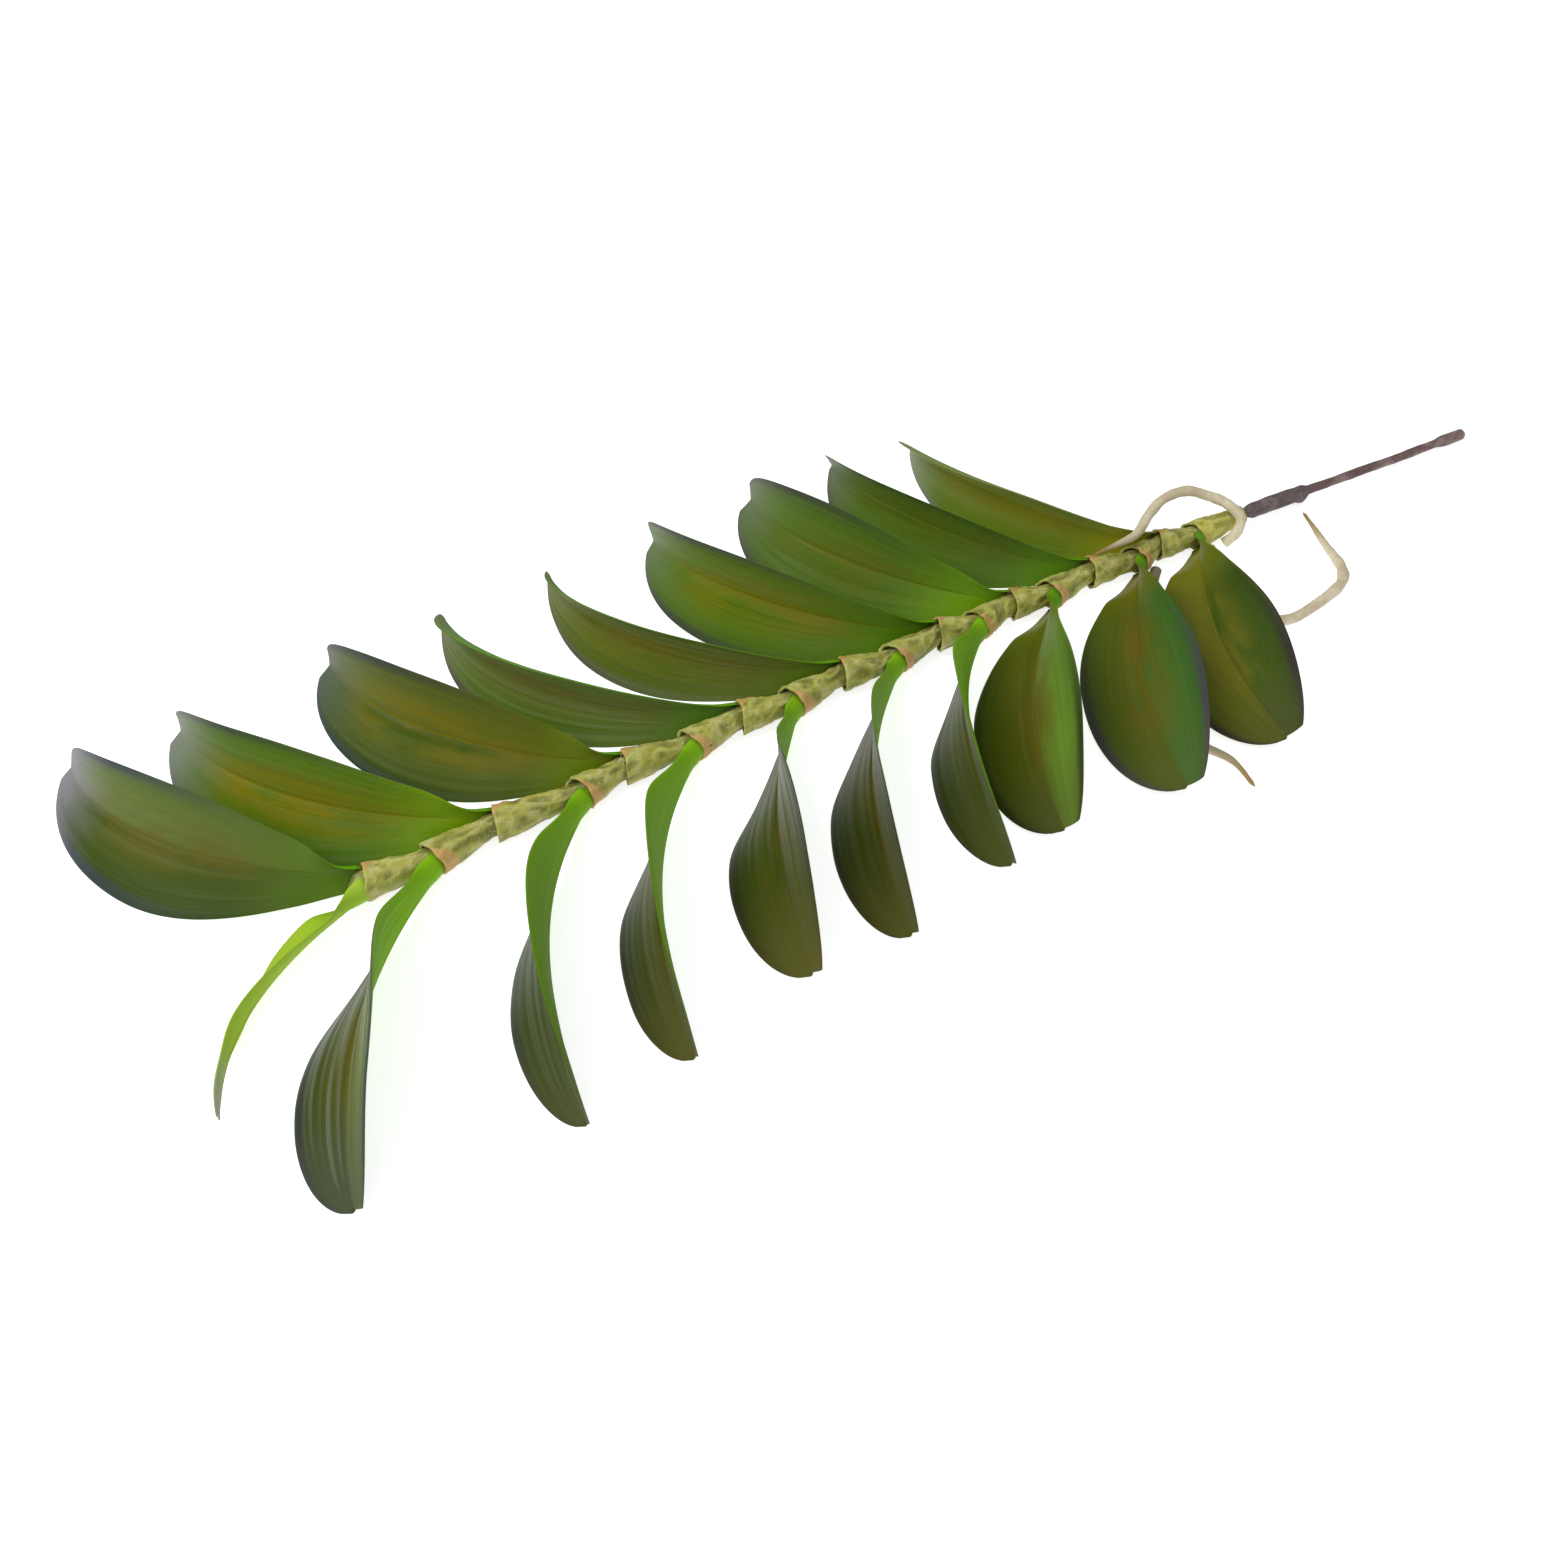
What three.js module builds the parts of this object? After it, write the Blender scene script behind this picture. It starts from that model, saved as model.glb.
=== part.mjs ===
// A cut stem of a leafy orchid that grows from its tip, lying on a flat surface. Its leaves stand in
// two ranks, one blade from the mouth of each leaf sheath, and three aerial roots leave the stem at
// its old end. Millimetres, +Z up. -X is the growing tip, +X the cut end, and the surface is Z = 0.
import * as THREE from "three";

// ---------- driving dimensions (millimetres, degrees) ----------

const CLEARANCE = 0.35; // left between pieces that touch
const REST_GAP = 0.4; // height at which a piece lies on the surface

// The stem, from the youngest leaf's node at X = 0 to the cut end.
const INTERNODE = 25; // mean distance from one leaf's node to the next
const BARE_LENGTH = 149; // past the oldest sheath
const STEM_BOW = 30; // how far the cut end strays sideways
const BOW_POWER = 1.6;
const STUMP_RADIUS = 3.9; // the thicker bare part next to the leaves
const STUMP_LENGTH = 42;
const CUT_END_RADIUS = 3; // the knob at the cut end
const KNOB_LENGTH = 16;
const RADIUS_STEP = 5; // length over which the bare stem changes its radius
const AXIS_TIP_SETBACK = 4; // the axis stops this far short of the youngest sheath's mouth
const BARE_STEPS = 4;
const AXIS_RINGS = 60;
const AXIS_SIDES = 10;

// A leaf sheath covers each internode: a tube that flares from its neck to its mouth.
const SHEATH_MOUTH_RADIUS = 7.1;
const SHEATH_WALL = 0.7; // at the mouth
const NECK_PLAY = 1.5; // round the neck that comes out of a mouth
const NECK_WALL = 0.9;
const BORE_PLAY = 1.57; // round the axis, which bends at the nodes, at the middles of the bore's flats
const SHEATH_OVERLAP = 4; // how deep a neck sits in the next older mouth
const CUP_PLAY = 2; // below the end of the neck that sits in a mouth
const CUP_TAPER = 0.2; // how much narrower a mouth's hollow is at its floor
const CUP_FLOOR = 1.5; // depth of that floor's cone
const ZIGZAG_SLOPE = 0.068; // sideways step of each node towards its own leaf, per mean internode
const SHEATH_SIDES = 12;
const MOUTH_SLANT = 1.4; // a mouth is set back by this much on its leaf's side
const SLANT_FROM = 0.5; // share of the sheath's length at which that slant starts

// How a sheath flares: [share of the widening, share of the length] past its neck.
const SHEATH_FLARE = [[0.45, 0.4], [0.9, 0.72]];

// Lengths of the internodes, in mean internodes, from the tip towards the cut end.
const INTERNODES = [
  1.08, 1.16, 1.48, 0.88, 1.2, 1.04, 0.96, 1.12, 1, 1.04, 0.76, 0.88, 0.76, 1.04, 0.96, 0.64, 0.8, 1.24,
];

// A leaf blade.
const LEAF_LENGTH = 150;
const BLADE_WIDTH = 56;
const BLADE_THICKNESS = 1.8; // along the midrib; the margins are half of it
const BASE_PLAY = 0.8; // between a neck and the blade base that wraps it
const BLADE_BASE_WRAP = 72; // half of the angle that it wraps
const EARLY_CURL = 0.42; // share of a blade's curl that lies before its middle
const FIRST_ARM = 0.32; // how long the blade keeps its first and its last direction, as shares of its length
const LAST_ARM = 0.38;
const FIRST_LIFT = 0.3; // how much of the arch's height the blade's two middle controls take
const LAST_LIFT = 0.9;
const KEEL_SHARE = 0.6; // share of the fold that is made in the keel, along the midrib
const HOLLOW_SHARE = 0.7; // share of the fold by which each half bends on towards its margin
const WIDEST_AT = 0.58; // share of the length at which the blade is widest
const SWELL_POWER = 1.5; // how late it swells from its base to its widest, where a leaf has no value of its own
const ROUND_POWER = 0.6; // how full its rounded end is, where a leaf has no value of its own
const TIP_HALF = 0.28; // half width left at the very tip, as a share of the widest half, by default
const END_FULLNESS = 2; // how late the blade narrows past its widest
// The lower half of a front leaf ends rounder: its own values for these three.
const LOW_END = { round: 0.5, point: 0.055, fullness: 3 };
const WRAP_ENDS = 0.16; // shares of the length: the base stops wrapping the stem,
const TURN_STARTS = [0, 0.2]; // the blade takes up its turn,
const TURN_CHANGES = [0.15, 0.75]; // its turn goes over to that of the tip,
const FOLD_CHANGES = [0.15, 0.65]; // its fold goes over to that of the tip,
const NOTCH_FROM = 0.8; // and the notch starts to deepen
const MARGIN_THINNING = 0.5; // share of the thickness that is lost from midrib to margin
const STEP_SHORTENING = 0.5; // how much closer the cross-sections stand at the tip than at the base
const BLADE_STEPS = 16;
const BLADE_LANES = 6;
const HALVINGS = 20; // of the range in which the height of a blade's arch is sought
const FRONT_TIP_HEIGHT = 8; // of the tips in the rank towards -Y
const BACK_TIP_HEIGHT = 20;
const TIP_NOTCH = 0.007; // share of the length by which the midrib stops short of the two lobes

// Aerial roots.
const ROOT_RADIUS = 2.7;
const ROOT_TIP_RADIUS = 0.9;
const ROOT_TAPER = 0.3; // share of its length over which a root narrows to its tip
const ROOT_SIDES = 8;
const ROOT_RINGS = 26;

// The leaves from the tip to the cut end. side: 1 is the rank towards +Y and -1 the rank towards -Y.
// reach and sweep say where the blade's tip lies: its distance from the base, as a share of LEAF_LENGTH,
// and its direction in plan from the stem's own tip direction. curl is how far the blade turns back along
// its length. turn is how far its upper face looks up, near the base and at the tip: 0 stands on edge and
// 90 lies flat. fold is the angle of each half to a flat blade, near the base and at the tip. slim is the
// blade's width as a share of BLADE_WIDTH, and swell, round and point are its own SWELL_POWER, ROUND_POWER
// and TIP_HALF.
const LEAVES = [
  { side: -1, reach: 0.7, sweep: 38, curl: 60, turn: [60, 5], fold: [30, 12], slim: 0.3, round: 0.4 },
  { side: 1, reach: 0.86, sweep: 55, curl: 70, turn: [38, 34], fold: [18, 18] },
  { side: -1, reach: 0.99, sweep: 54, curl: 30, turn: [10, 40], fold: [20, 15], swell: 2.4 },
  { side: 1, reach: 0.89, sweep: 50, curl: 72, turn: [26, 27], fold: [24, 24] },
  { side: -1, reach: 1.01, sweep: 61, curl: 38, turn: [0, 14], fold: [20, 22], swell: 2.4 },
  { side: 1, reach: 0.88, sweep: 54, curl: 74, turn: [27, 28], fold: [20, 22] },
  { side: -1, reach: 1.01, sweep: 58, curl: 38, turn: [0, 16], fold: [20, 22], swell: 2.4 },
  { side: 1, reach: 0.9, sweep: 54, curl: 86, turn: [2, -2], fold: [38, 36], slim: 0.92, round: 1.1, point: 0.1 },
  { side: -1, reach: 0.94, sweep: 58, curl: 32, turn: [6, 32], fold: [20, 18], swell: 2.4 },
  { side: 1, reach: 0.91, sweep: 55, curl: 90, turn: [5, 0], fold: [36, 34], slim: 0.82, round: 1.1, point: 0.1 },
  { side: -1, reach: 1, sweep: 55, curl: 40, turn: [6, 20], fold: [20, 20], swell: 2.4 },
  { side: 1, reach: 0.89, sweep: 55, curl: 86, turn: [10, 12], fold: [32, 28] },
  { side: -1, reach: 0.92, sweep: 56, curl: 46, turn: [0, 8], fold: [20, 22], swell: 2.4 },
  { side: 1, reach: 0.86, sweep: 61, curl: 80, turn: [18, 22], fold: [28, 24] },
  { side: -1, reach: 0.94, sweep: 51, curl: 36, turn: [40, 48], fold: [26, 15] },
  { side: 1, reach: 0.87, sweep: 63, curl: 84, turn: [2, 0], fold: [36, 35], round: 0.8, point: 0.12 },
  { side: -1, reach: 0.95, sweep: 55, curl: 30, turn: [50, 60], fold: [26, 12] },
  { side: 1, reach: 0.82, sweep: 61, curl: 95, turn: [-12, -20], fold: [34, 30], round: 0.9, point: 0.12 },
  { side: -1, reach: 0.88, sweep: 62, curl: 38, turn: [52, 64], fold: [26, 12] },
];

// The aerial roots, each a path in stretches. A stretch from the stem starts under it, this far past a
// node: each point is an offset from there along and across the stem, with its height over the surface in
// sheath radii, and without one it lies on the surface. A stretch beside a blade follows the blade's upper
// margin, 1, or lower one, -1: each point is a share of the blade's length and an offset from the margin
// there, and without a height it lies on the surface.
const ROOTS = {
  root_arch: [
    {
      node: 18,
      past: -17,
      points: [[0, 0], [4, -2, 0.7], [9, 1, 1.4], [6, 8, 2.15], [-2, 16, 2.7], [-12, 20, 3.25], [-26, 21, 3.25]],
    },
    { blade: 17, margin: 1, points: [[0.05, 5, 2.5, 7], [0.1, -1, -4.2, 1]] },
    { node: 16, past: 0, points: [[-29, 11, 2.35], [-40, 11, 2.35]] },
  ],
  root_hook: [
    {
      node: 17,
      past: 5,
      points: [[0, 0], [-6, -10], [-12, -24], [-17, -40], [-16, -52], [-7, -58], [8, -58], [33, -53], [41, -46],
        [48, -29], [54, -15], [58, -5]],
    },
  ],
  root_stub: [
    { node: 15, past: 8, points: [[0, 0]] },
    {
      blade: 18,
      margin: -1,
      points: [[0.2, -12, 0], [0.3, -11.5, 0], [0.4, -10.5, 0], [0.55, -12, 0], [0.68, -12, 0], [0.78, -11, 0],
        [0.88, -12, 0], [1, -24, 6], [1, -27, -10]],
    },
  ],
};

// ---------- small helpers ----------

const radians = THREE.MathUtils.degToRad;
const mix = THREE.MathUtils.lerp;
const ease = (from, to, value) => THREE.MathUtils.smoothstep(value, from, to);
const UP = new THREE.Vector3(0, 0, 1);

const LEAF = { color: 0x3f5a12, roughness: 0.35 };
const YOUNG_LEAF = { color: 0x7f9a22, roughness: 0.4 };
const SHEATH = { color: 0x8c9440, roughness: 0.65 };
const DRY_STEM = { color: 0x5f4d49, roughness: 0.8 };
const ROOT = { color: 0xc9bd90, roughness: 0.7 };

const orchid = new THREE.Group();

function addNode(name, geometry, finish) {
  const node = new THREE.Mesh(geometry, new THREE.MeshStandardMaterial({ ...finish, metalness: 0 }));
  node.name = name;
  orchid.add(node);
}

const twoDigits = (number) => String(number).padStart(2, "0");

// A closed rod along a curve, with radiusAt(share of the length, point) for its radius.
function rodAlong(curve, radiusAt, rings, sides) {
  const rod = new THREE.CylinderGeometry(1, 1, 1, sides, rings);
  const frames = curve.computeFrenetFrames(rings, false);
  const position = rod.attributes.position;
  const corner = new THREE.Vector3();
  for (let i = 0; i < position.count; i++) {
    corner.fromBufferAttribute(position, i);
    const ring = Math.round((corner.y + 0.5) * rings);
    const point = curve.getPointAt(ring / rings);
    const radius = radiusAt(ring / rings, point);
    point.addScaledVector(frames.binormals[ring], corner.x * radius);
    point.addScaledVector(frames.normals[ring], corner.z * radius);
    position.setXYZ(i, point.x, point.y, point.z);
  }
  rod.computeVertexNormals();
  return rod;
}

// ---------- the stem ----------

const SHEATH_HEIGHT = SHEATH_MOUTH_RADIUS + REST_GAP;
const SHEATH_NECK_RADIUS = SHEATH_MOUTH_RADIUS - SHEATH_WALL - NECK_PLAY;
const BORE_RADIUS = SHEATH_NECK_RADIUS - NECK_WALL;
// Inside the sheaths and along the thin bare part.
const AXIS_RADIUS = BORE_RADIUS * Math.cos(Math.PI / SHEATH_SIDES) - BORE_PLAY;

// Stations of the nodes: station[0] is the youngest sheath's mouth.
const stations = [0];
for (const share of INTERNODES) stations.push(stations.at(-1) + share * INTERNODE);
const FOLIAGE_END = stations.at(-1);
const STEM_LENGTH = FOLIAGE_END + BARE_LENGTH;

// The stem's centre at a distance x from the youngest node. It comes down to the surface past the leaves.
function stemPoint(x) {
  const bare = ease(FOLIAGE_END - INTERNODE, STEM_LENGTH, x);
  const height = mix(SHEATH_HEIGHT, CUT_END_RADIUS + REST_GAP, bare);
  return new THREE.Vector3(x, -STEM_BOW * (Math.max(0, x) / STEM_LENGTH) ** BOW_POWER, height);
}

// Nodes step sideways towards their own leaf, which makes the zigzag.
function nodePoint(index) {
  const side = index < INTERNODES.length ? LEAVES[index + 1].side : 0;
  return stemPoint(stations[index]).add(new THREE.Vector3(0, side * ZIGZAG_SLOPE * INTERNODE, 0));
}

// Radius of the woody axis at a distance x: thin inside the sheaths, thick just past them, thin again and
// ending in a knob.
function axisRadius(x) {
  const rise = (at) => ease(at - RADIUS_STEP / 2, at + RADIUS_STEP / 2, x);
  const stump = rise(FOLIAGE_END + RADIUS_STEP) - rise(FOLIAGE_END + STUMP_LENGTH);
  const knob = rise(STEM_LENGTH - KNOB_LENGTH);
  return AXIS_RADIUS + stump * (STUMP_RADIUS - AXIS_RADIUS) + knob * (CUT_END_RADIUS - AXIS_RADIUS);
}

function stemAxis() {
  const points = stations.map((_, i) => nodePoint(i));
  points[0].x += AXIS_TIP_SETBACK;
  for (let i = 1; i <= BARE_STEPS; i++)
    points.push(stemPoint(mix(FOLIAGE_END, STEM_LENGTH, i / BARE_STEPS)));
  const radiusAt = (share, point) => axisRadius(point.x);
  return rodAlong(new THREE.CatmullRomCurve3(points), radiusAt, AXIS_RINGS, AXIS_SIDES);
}

// A sheath is a short tube from its neck, inside the next older mouth, to its own flared mouth.
function sheath(mouth, neck, side) {
  const reach = mouth.clone().sub(neck);
  const length = reach.length();
  const cup = SHEATH_OVERLAP + CUP_PLAY; // depth of the mouth's hollow
  const cupRadius = SHEATH_MOUTH_RADIUS - SHEATH_WALL;
  const flare = SHEATH_FLARE.map(([widened, along]) => [
    mix(SHEATH_NECK_RADIUS, SHEATH_MOUTH_RADIUS, widened),
    along * length,
  ]);
  const profile = [
    [BORE_RADIUS, 0],
    [SHEATH_NECK_RADIUS, 0],
    ...flare,
    [SHEATH_MOUTH_RADIUS, length],
    [cupRadius, length],
    [cupRadius - CUP_TAPER, length - cup],
    [BORE_RADIUS, length - cup - CUP_FLOOR],
    [BORE_RADIUS, 0],
  ].map(([radius, along]) => new THREE.Vector2(radius, along));
  const tube = new THREE.LatheGeometry(profile, SHEATH_SIDES);
  const toStem = new THREE.Quaternion().setFromUnitVectors(new THREE.Vector3(0, 1, 0), reach.normalize());
  const position = tube.attributes.position;
  const corner = new THREE.Vector3();
  for (let i = 0; i < position.count; i++) {
    corner.fromBufferAttribute(position, i);
    const along = corner.y / length;
    corner.applyQuaternion(toStem);
    corner.x += side * MOUTH_SLANT * (corner.y / SHEATH_MOUTH_RADIUS) * ease(SLANT_FROM, 1, along);
    corner.add(neck);
    position.setXYZ(i, corner.x, corner.y, corner.z);
  }
  tube.computeVertexNormals();
  return tube;
}

// ---------- the leaves ----------

// Half of the blade's width at a share t of its length, as a share of the widest half.
function outline(t, baseShare, ends) {
  const { swell = SWELL_POWER, round = ROUND_POWER, point = TIP_HALF, fullness = END_FULLNESS } = ends;
  if (t < WIDEST_AT) return mix(baseShare, 1, Math.sin(((t / WIDEST_AT) * Math.PI) / 2) ** swell);
  const past = (t - WIDEST_AT) / (1 - WIDEST_AT);
  return (1 - (1 - point ** (1 / round)) * past ** fullness) ** round;
}

const BLADE_BASE_RADIUS = SHEATH_NECK_RADIUS + BASE_PLAY + BLADE_THICKNESS / 2;

class Blade {
  constructor(leaf, stemCentre) {
    this.leaf = leaf;
    this.half = (BLADE_WIDTH * (leaf.slim ?? 1)) / 2;
    this.base = stemCentre.clone().add(new THREE.Vector3(0, leaf.side * BLADE_BASE_RADIUS, 0));
    this.start = this.heading(leaf.sweep - leaf.curl * EARLY_CURL);
    this.end = this.heading(leaf.sweep + leaf.curl * (1 - EARLY_CURL));
    this.tip = this.base.clone().addScaledVector(this.heading(leaf.sweep), leaf.reach * LEAF_LENGTH);
    this.tip.z = leaf.side > 0 ? BACK_TIP_HEIGHT : FRONT_TIP_HEIGHT;
    this.spine = this.spineFor(this.settledArch());
  }

  // A direction in plan, at an angle from the stem's own tip direction.
  heading(degrees) {
    const angle = radians(degrees);
    return new THREE.Vector3(-Math.cos(angle), this.leaf.side * Math.sin(angle), 0);
  }

  spineFor(arch) {
    const length = this.leaf.reach * LEAF_LENGTH;
    const first = this.base.clone().addScaledVector(this.start, FIRST_ARM * length);
    const second = this.tip.clone().addScaledVector(this.end, -LAST_ARM * length);
    first.z = mix(this.base.z, arch, FIRST_LIFT);
    second.z = mix(this.tip.z, arch, LAST_LIFT);
    return new THREE.CubicBezierCurve3(this.base, first, second, this.tip);
  }

  // The height of the arch at which the blade's lowest point lies on the surface, by halving a range.
  settledArch() {
    let low = -LEAF_LENGTH;
    let high = LEAF_LENGTH;
    for (let i = 0; i < HALVINGS; i++) {
      const middle = (low + high) / 2;
      if (this.lowest(middle) < REST_GAP) low = middle;
      else high = middle;
    }
    return high;
  }

  lowest(arch) {
    const spine = this.spineFor(arch);
    const heights = this.samples(spine, WRAP_ENDS, BLADE_STEPS, BLADE_LANES, [-1, 1]).map((point) => point.z);
    return Math.min(...heights);
  }

  // Points of the blade past a share of its length, in steps along it and lanes across it.
  samples(spine, from, steps, lanes, faces) {
    const found = [];
    for (let i = 0; i <= steps; i++)
      for (let j = 0; j <= lanes; j++)
        for (const face of faces)
          found.push(this.point(spine, mix(from, 1, i / steps), mix(-1, 1, j / lanes), face));
    return found;
  }

  // A point of the blade: t runs from base to tip, across from the lower margin, -1, to the upper one, 1,
  // and face is 1 on the upper face and -1 on the under one.
  point(spine, t, across, face) {
    const { leaf } = this;
    const lobe = (1 - Math.abs(across)) ** 2 * TIP_NOTCH * ease(NOTCH_FROM, 1, t);
    const at = Math.min(1, Math.max(0, t - lobe));
    const along = spine.getTangent(at);
    const apexward = new THREE.Vector3().crossVectors(UP, along).multiplyScalar(leaf.side).normalize();
    const upward = new THREE.Vector3().crossVectors(along, apexward).multiplyScalar(leaf.side);
    const turnedAtFirst = leaf.turn[0] * ease(...TURN_STARTS, t);
    const turned = radians(mix(turnedAtFirst, leaf.turn[1], ease(...TURN_CHANGES, t)));
    const normal = apexward.clone().multiplyScalar(Math.cos(turned)).addScaledVector(upward, Math.sin(turned));
    const width = upward.clone().multiplyScalar(Math.cos(turned)).addScaledVector(apexward, -Math.sin(turned));

    // The section of a half starts at the keel's angle and bends on towards the margin: it wraps the stem
    // at the base and is a folded channel past it.
    const wrapped = 1 - ease(0, WRAP_ENDS, t);
    const folded = mix(leaf.fold[0], leaf.fold[1], ease(...FOLD_CHANGES, t));
    const fold = radians(mix(KEEL_SHARE * folded, 0, wrapped));
    const hollow = radians(mix(HOLLOW_SHARE * folded, BLADE_BASE_WRAP, wrapped));
    const baseHalf = BLADE_BASE_RADIUS * radians(BLADE_BASE_WRAP);
    const ends = leaf.side < 0 && across < 0 ? { ...leaf, ...LOW_END } : leaf;
    const half = this.half * outline(t, baseHalf / this.half, ends);
    const share = Math.abs(across);
    const out = (half * (Math.sin(fold + hollow * share) - Math.sin(fold))) / hollow;
    const rise = (half * (Math.cos(fold) - Math.cos(fold + hollow * share))) / hollow;

    const thickness = BLADE_THICKNESS * (1 - MARGIN_THINNING * share ** 2);
    return spine
      .getPoint(at)
      .addScaledVector(width, Math.sign(across) * out)
      .addScaledVector(normal, rise + (face * thickness) / 2);
  }

  // A thin box of lanes and steps, with each of its corners carried to its place on the blade.
  geometry() {
    const box = new THREE.BoxGeometry(1, 1, 1, BLADE_STEPS, BLADE_LANES, 1);
    const position = box.attributes.position;
    for (let i = 0; i < position.count; i++) {
      const step = position.getX(i) + 0.5;
      const t = step * (1 + STEP_SHORTENING * (1 - step));
      const across = 2 * position.getY(i);
      const face = -2 * position.getZ(i) * this.leaf.side;
      const point = this.point(this.spine, t, across, face);
      position.setXYZ(i, point.x, point.y, point.z);
    }
    box.computeVertexNormals();
    return box;
  }
}

// ---------- the roots ----------

const LYING = ROOT_RADIUS + REST_GAP; // height of a root's centre where it lies on the surface

// Where a root leaves the stem: beside its underside, at the surface.
function underStem(x) {
  const apart = SHEATH_MOUTH_RADIUS + CLEARANCE + ROOT_RADIUS;
  const point = stemPoint(x);
  point.y -= Math.sqrt(apart ** 2 - (point.z - LYING) ** 2);
  point.z = LYING;
  return point;
}

function rootPoints(stretches, blades) {
  const found = [];
  for (const { node, past, blade, margin, points } of stretches) {
    if (blade === undefined) {
      const start = underStem(stations[node] + past);
      for (const [dx, dy, radii = 0] of points)
        found.push(start.clone().add(new THREE.Vector3(dx, dy, radii * SHEATH_MOUTH_RADIUS)));
    } else {
      for (const [share, dx, dy, dz] of points) {
        const edge = blades[blade].point(blades[blade].spine, share, margin, 0);
        found.push(new THREE.Vector3(edge.x + dx, edge.y + dy, dz === undefined ? LYING : edge.z + dz));
      }
    }
  }
  return found;
}

// A root tapers to its tip over the last part of its length.
function rootGeometry(stretches, blades) {
  const curve = new THREE.CatmullRomCurve3(rootPoints(stretches, blades));
  const radiusAt = (share) => mix(ROOT_RADIUS, ROOT_TIP_RADIUS, ease(1 - ROOT_TAPER, 1, share));
  return rodAlong(curve, radiusAt, ROOT_RINGS, ROOT_SIDES);
}

// ---------- assembly ----------

addNode("stem_axis", stemAxis(), DRY_STEM);

INTERNODES.forEach((_, i) => {
  const mouth = nodePoint(i);
  const neck = nodePoint(i + 1);
  const inside = i + 1 < INTERNODES.length ? SHEATH_OVERLAP : 0;
  neck.addScaledVector(neck.clone().sub(mouth).normalize(), inside);
  addNode(`leaf_sheath_${twoDigits(i + 1)}`, sheath(mouth, neck, LEAVES[i + 1].side), SHEATH);
});

const blades = LEAVES.map((leaf, i) => {
  const centre = nodePoint(Math.max(0, i - 1));
  // The youngest leaf shares its mouth with the next one and stands on the side that reaches forward.
  const setBack = i === 0 ? -MOUTH_SLANT : MOUTH_SLANT * Math.cos(radians(BLADE_BASE_WRAP));
  centre.x += setBack - CLEARANCE - BLADE_THICKNESS / 2;
  return new Blade(leaf, centre);
});
blades.forEach((blade, i) => {
  addNode(`leaf_blade_${twoDigits(i)}`, blade.geometry(), i === 0 ? YOUNG_LEAF : LEAF);
});

for (const [name, root] of Object.entries(ROOTS)) addNode(name, rootGeometry(root, blades), ROOT);

// The origin is the middle of the whole outline, on the surface that the stem lies on.
const bounds = new THREE.Box3().setFromObject(orchid);
const middle = bounds.getCenter(new THREE.Vector3());
for (const node of orchid.children) node.geometry.translate(-middle.x, -middle.y, -bounds.min.z);

export default orchid;
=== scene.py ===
# %% [markdown]
# # A cut orchid stem
# A stem of a leafy orchid lies on a pale table. Its strap leaves stand in two ranks along a
# sheathed stem, three aerial roots leave it near its old end, and a bare woody end runs out to the
# cut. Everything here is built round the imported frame, in metres, so each piece goes where the
# frame's own node is.

import math

import bmesh
import bpy
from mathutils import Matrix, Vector, noise


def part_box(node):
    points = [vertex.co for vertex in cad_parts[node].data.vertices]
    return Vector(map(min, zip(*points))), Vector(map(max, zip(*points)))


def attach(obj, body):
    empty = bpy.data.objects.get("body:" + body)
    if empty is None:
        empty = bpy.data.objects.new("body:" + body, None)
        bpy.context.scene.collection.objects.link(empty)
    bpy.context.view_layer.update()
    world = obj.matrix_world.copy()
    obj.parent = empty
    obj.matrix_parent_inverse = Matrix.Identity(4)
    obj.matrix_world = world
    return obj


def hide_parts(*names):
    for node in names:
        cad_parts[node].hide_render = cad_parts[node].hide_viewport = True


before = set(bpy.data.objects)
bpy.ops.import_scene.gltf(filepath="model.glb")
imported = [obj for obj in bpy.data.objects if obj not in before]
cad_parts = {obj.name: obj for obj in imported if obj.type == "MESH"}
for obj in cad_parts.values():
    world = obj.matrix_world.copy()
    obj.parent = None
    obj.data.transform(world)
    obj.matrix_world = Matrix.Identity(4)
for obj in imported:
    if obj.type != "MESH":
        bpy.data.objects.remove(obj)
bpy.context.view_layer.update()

# %% [markdown]
# ## Where things are
# The stem's own coordinates start at the youngest leaf's node, with X along the stem. The frame's
# origin is the middle of the whole outline instead. The offset between them is written down once. The
# cut end, which both know, shows that it is right to a fraction of a millimetre.

# %% Offset from the stem's own coordinates to the frame's
MM = 0.001
SHEATH_COUNT = 18
LEAF_COUNT = SHEATH_COUNT + 1
STEM_LENGTH = 600 * MM
FOLIAGE_END = 451 * MM
STEM_BOW = 30 * MM
BOW_POWER = 1.6
INTERNODE = 25 * MM
REST_GAP = 0.4 * MM
CUT_END_RADIUS = 3 * MM
MOUTH_RADIUS = 7.1 * MM
NECK_RADIUS = 4.9 * MM
BLADE_BASE_RADIUS = 6.6 * MM
ZIGZAG = 1.7 * MM
SHEATH_HEIGHT = MOUTH_RADIUS + REST_GAP

OFFSET = Vector((-254.724, 18.549, -0.365)) * MM
by_cut_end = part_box("stem_axis")[1].x - STEM_LENGTH
print("offset along the stem in mm:", round(OFFSET.x / MM, 2), "by the cut end:", round(by_cut_end / MM, 2))


def mix(a, b, share):
    """The value a share of the way from a to b."""
    return a + (b - a) * share


def ease(start, stop, value):
    """0 before start, 1 after stop, and a smooth step between them."""
    share = min(1.0, max(0.0, (value - start) / (stop - start)))
    return share * share * (3 - 2 * share)


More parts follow.
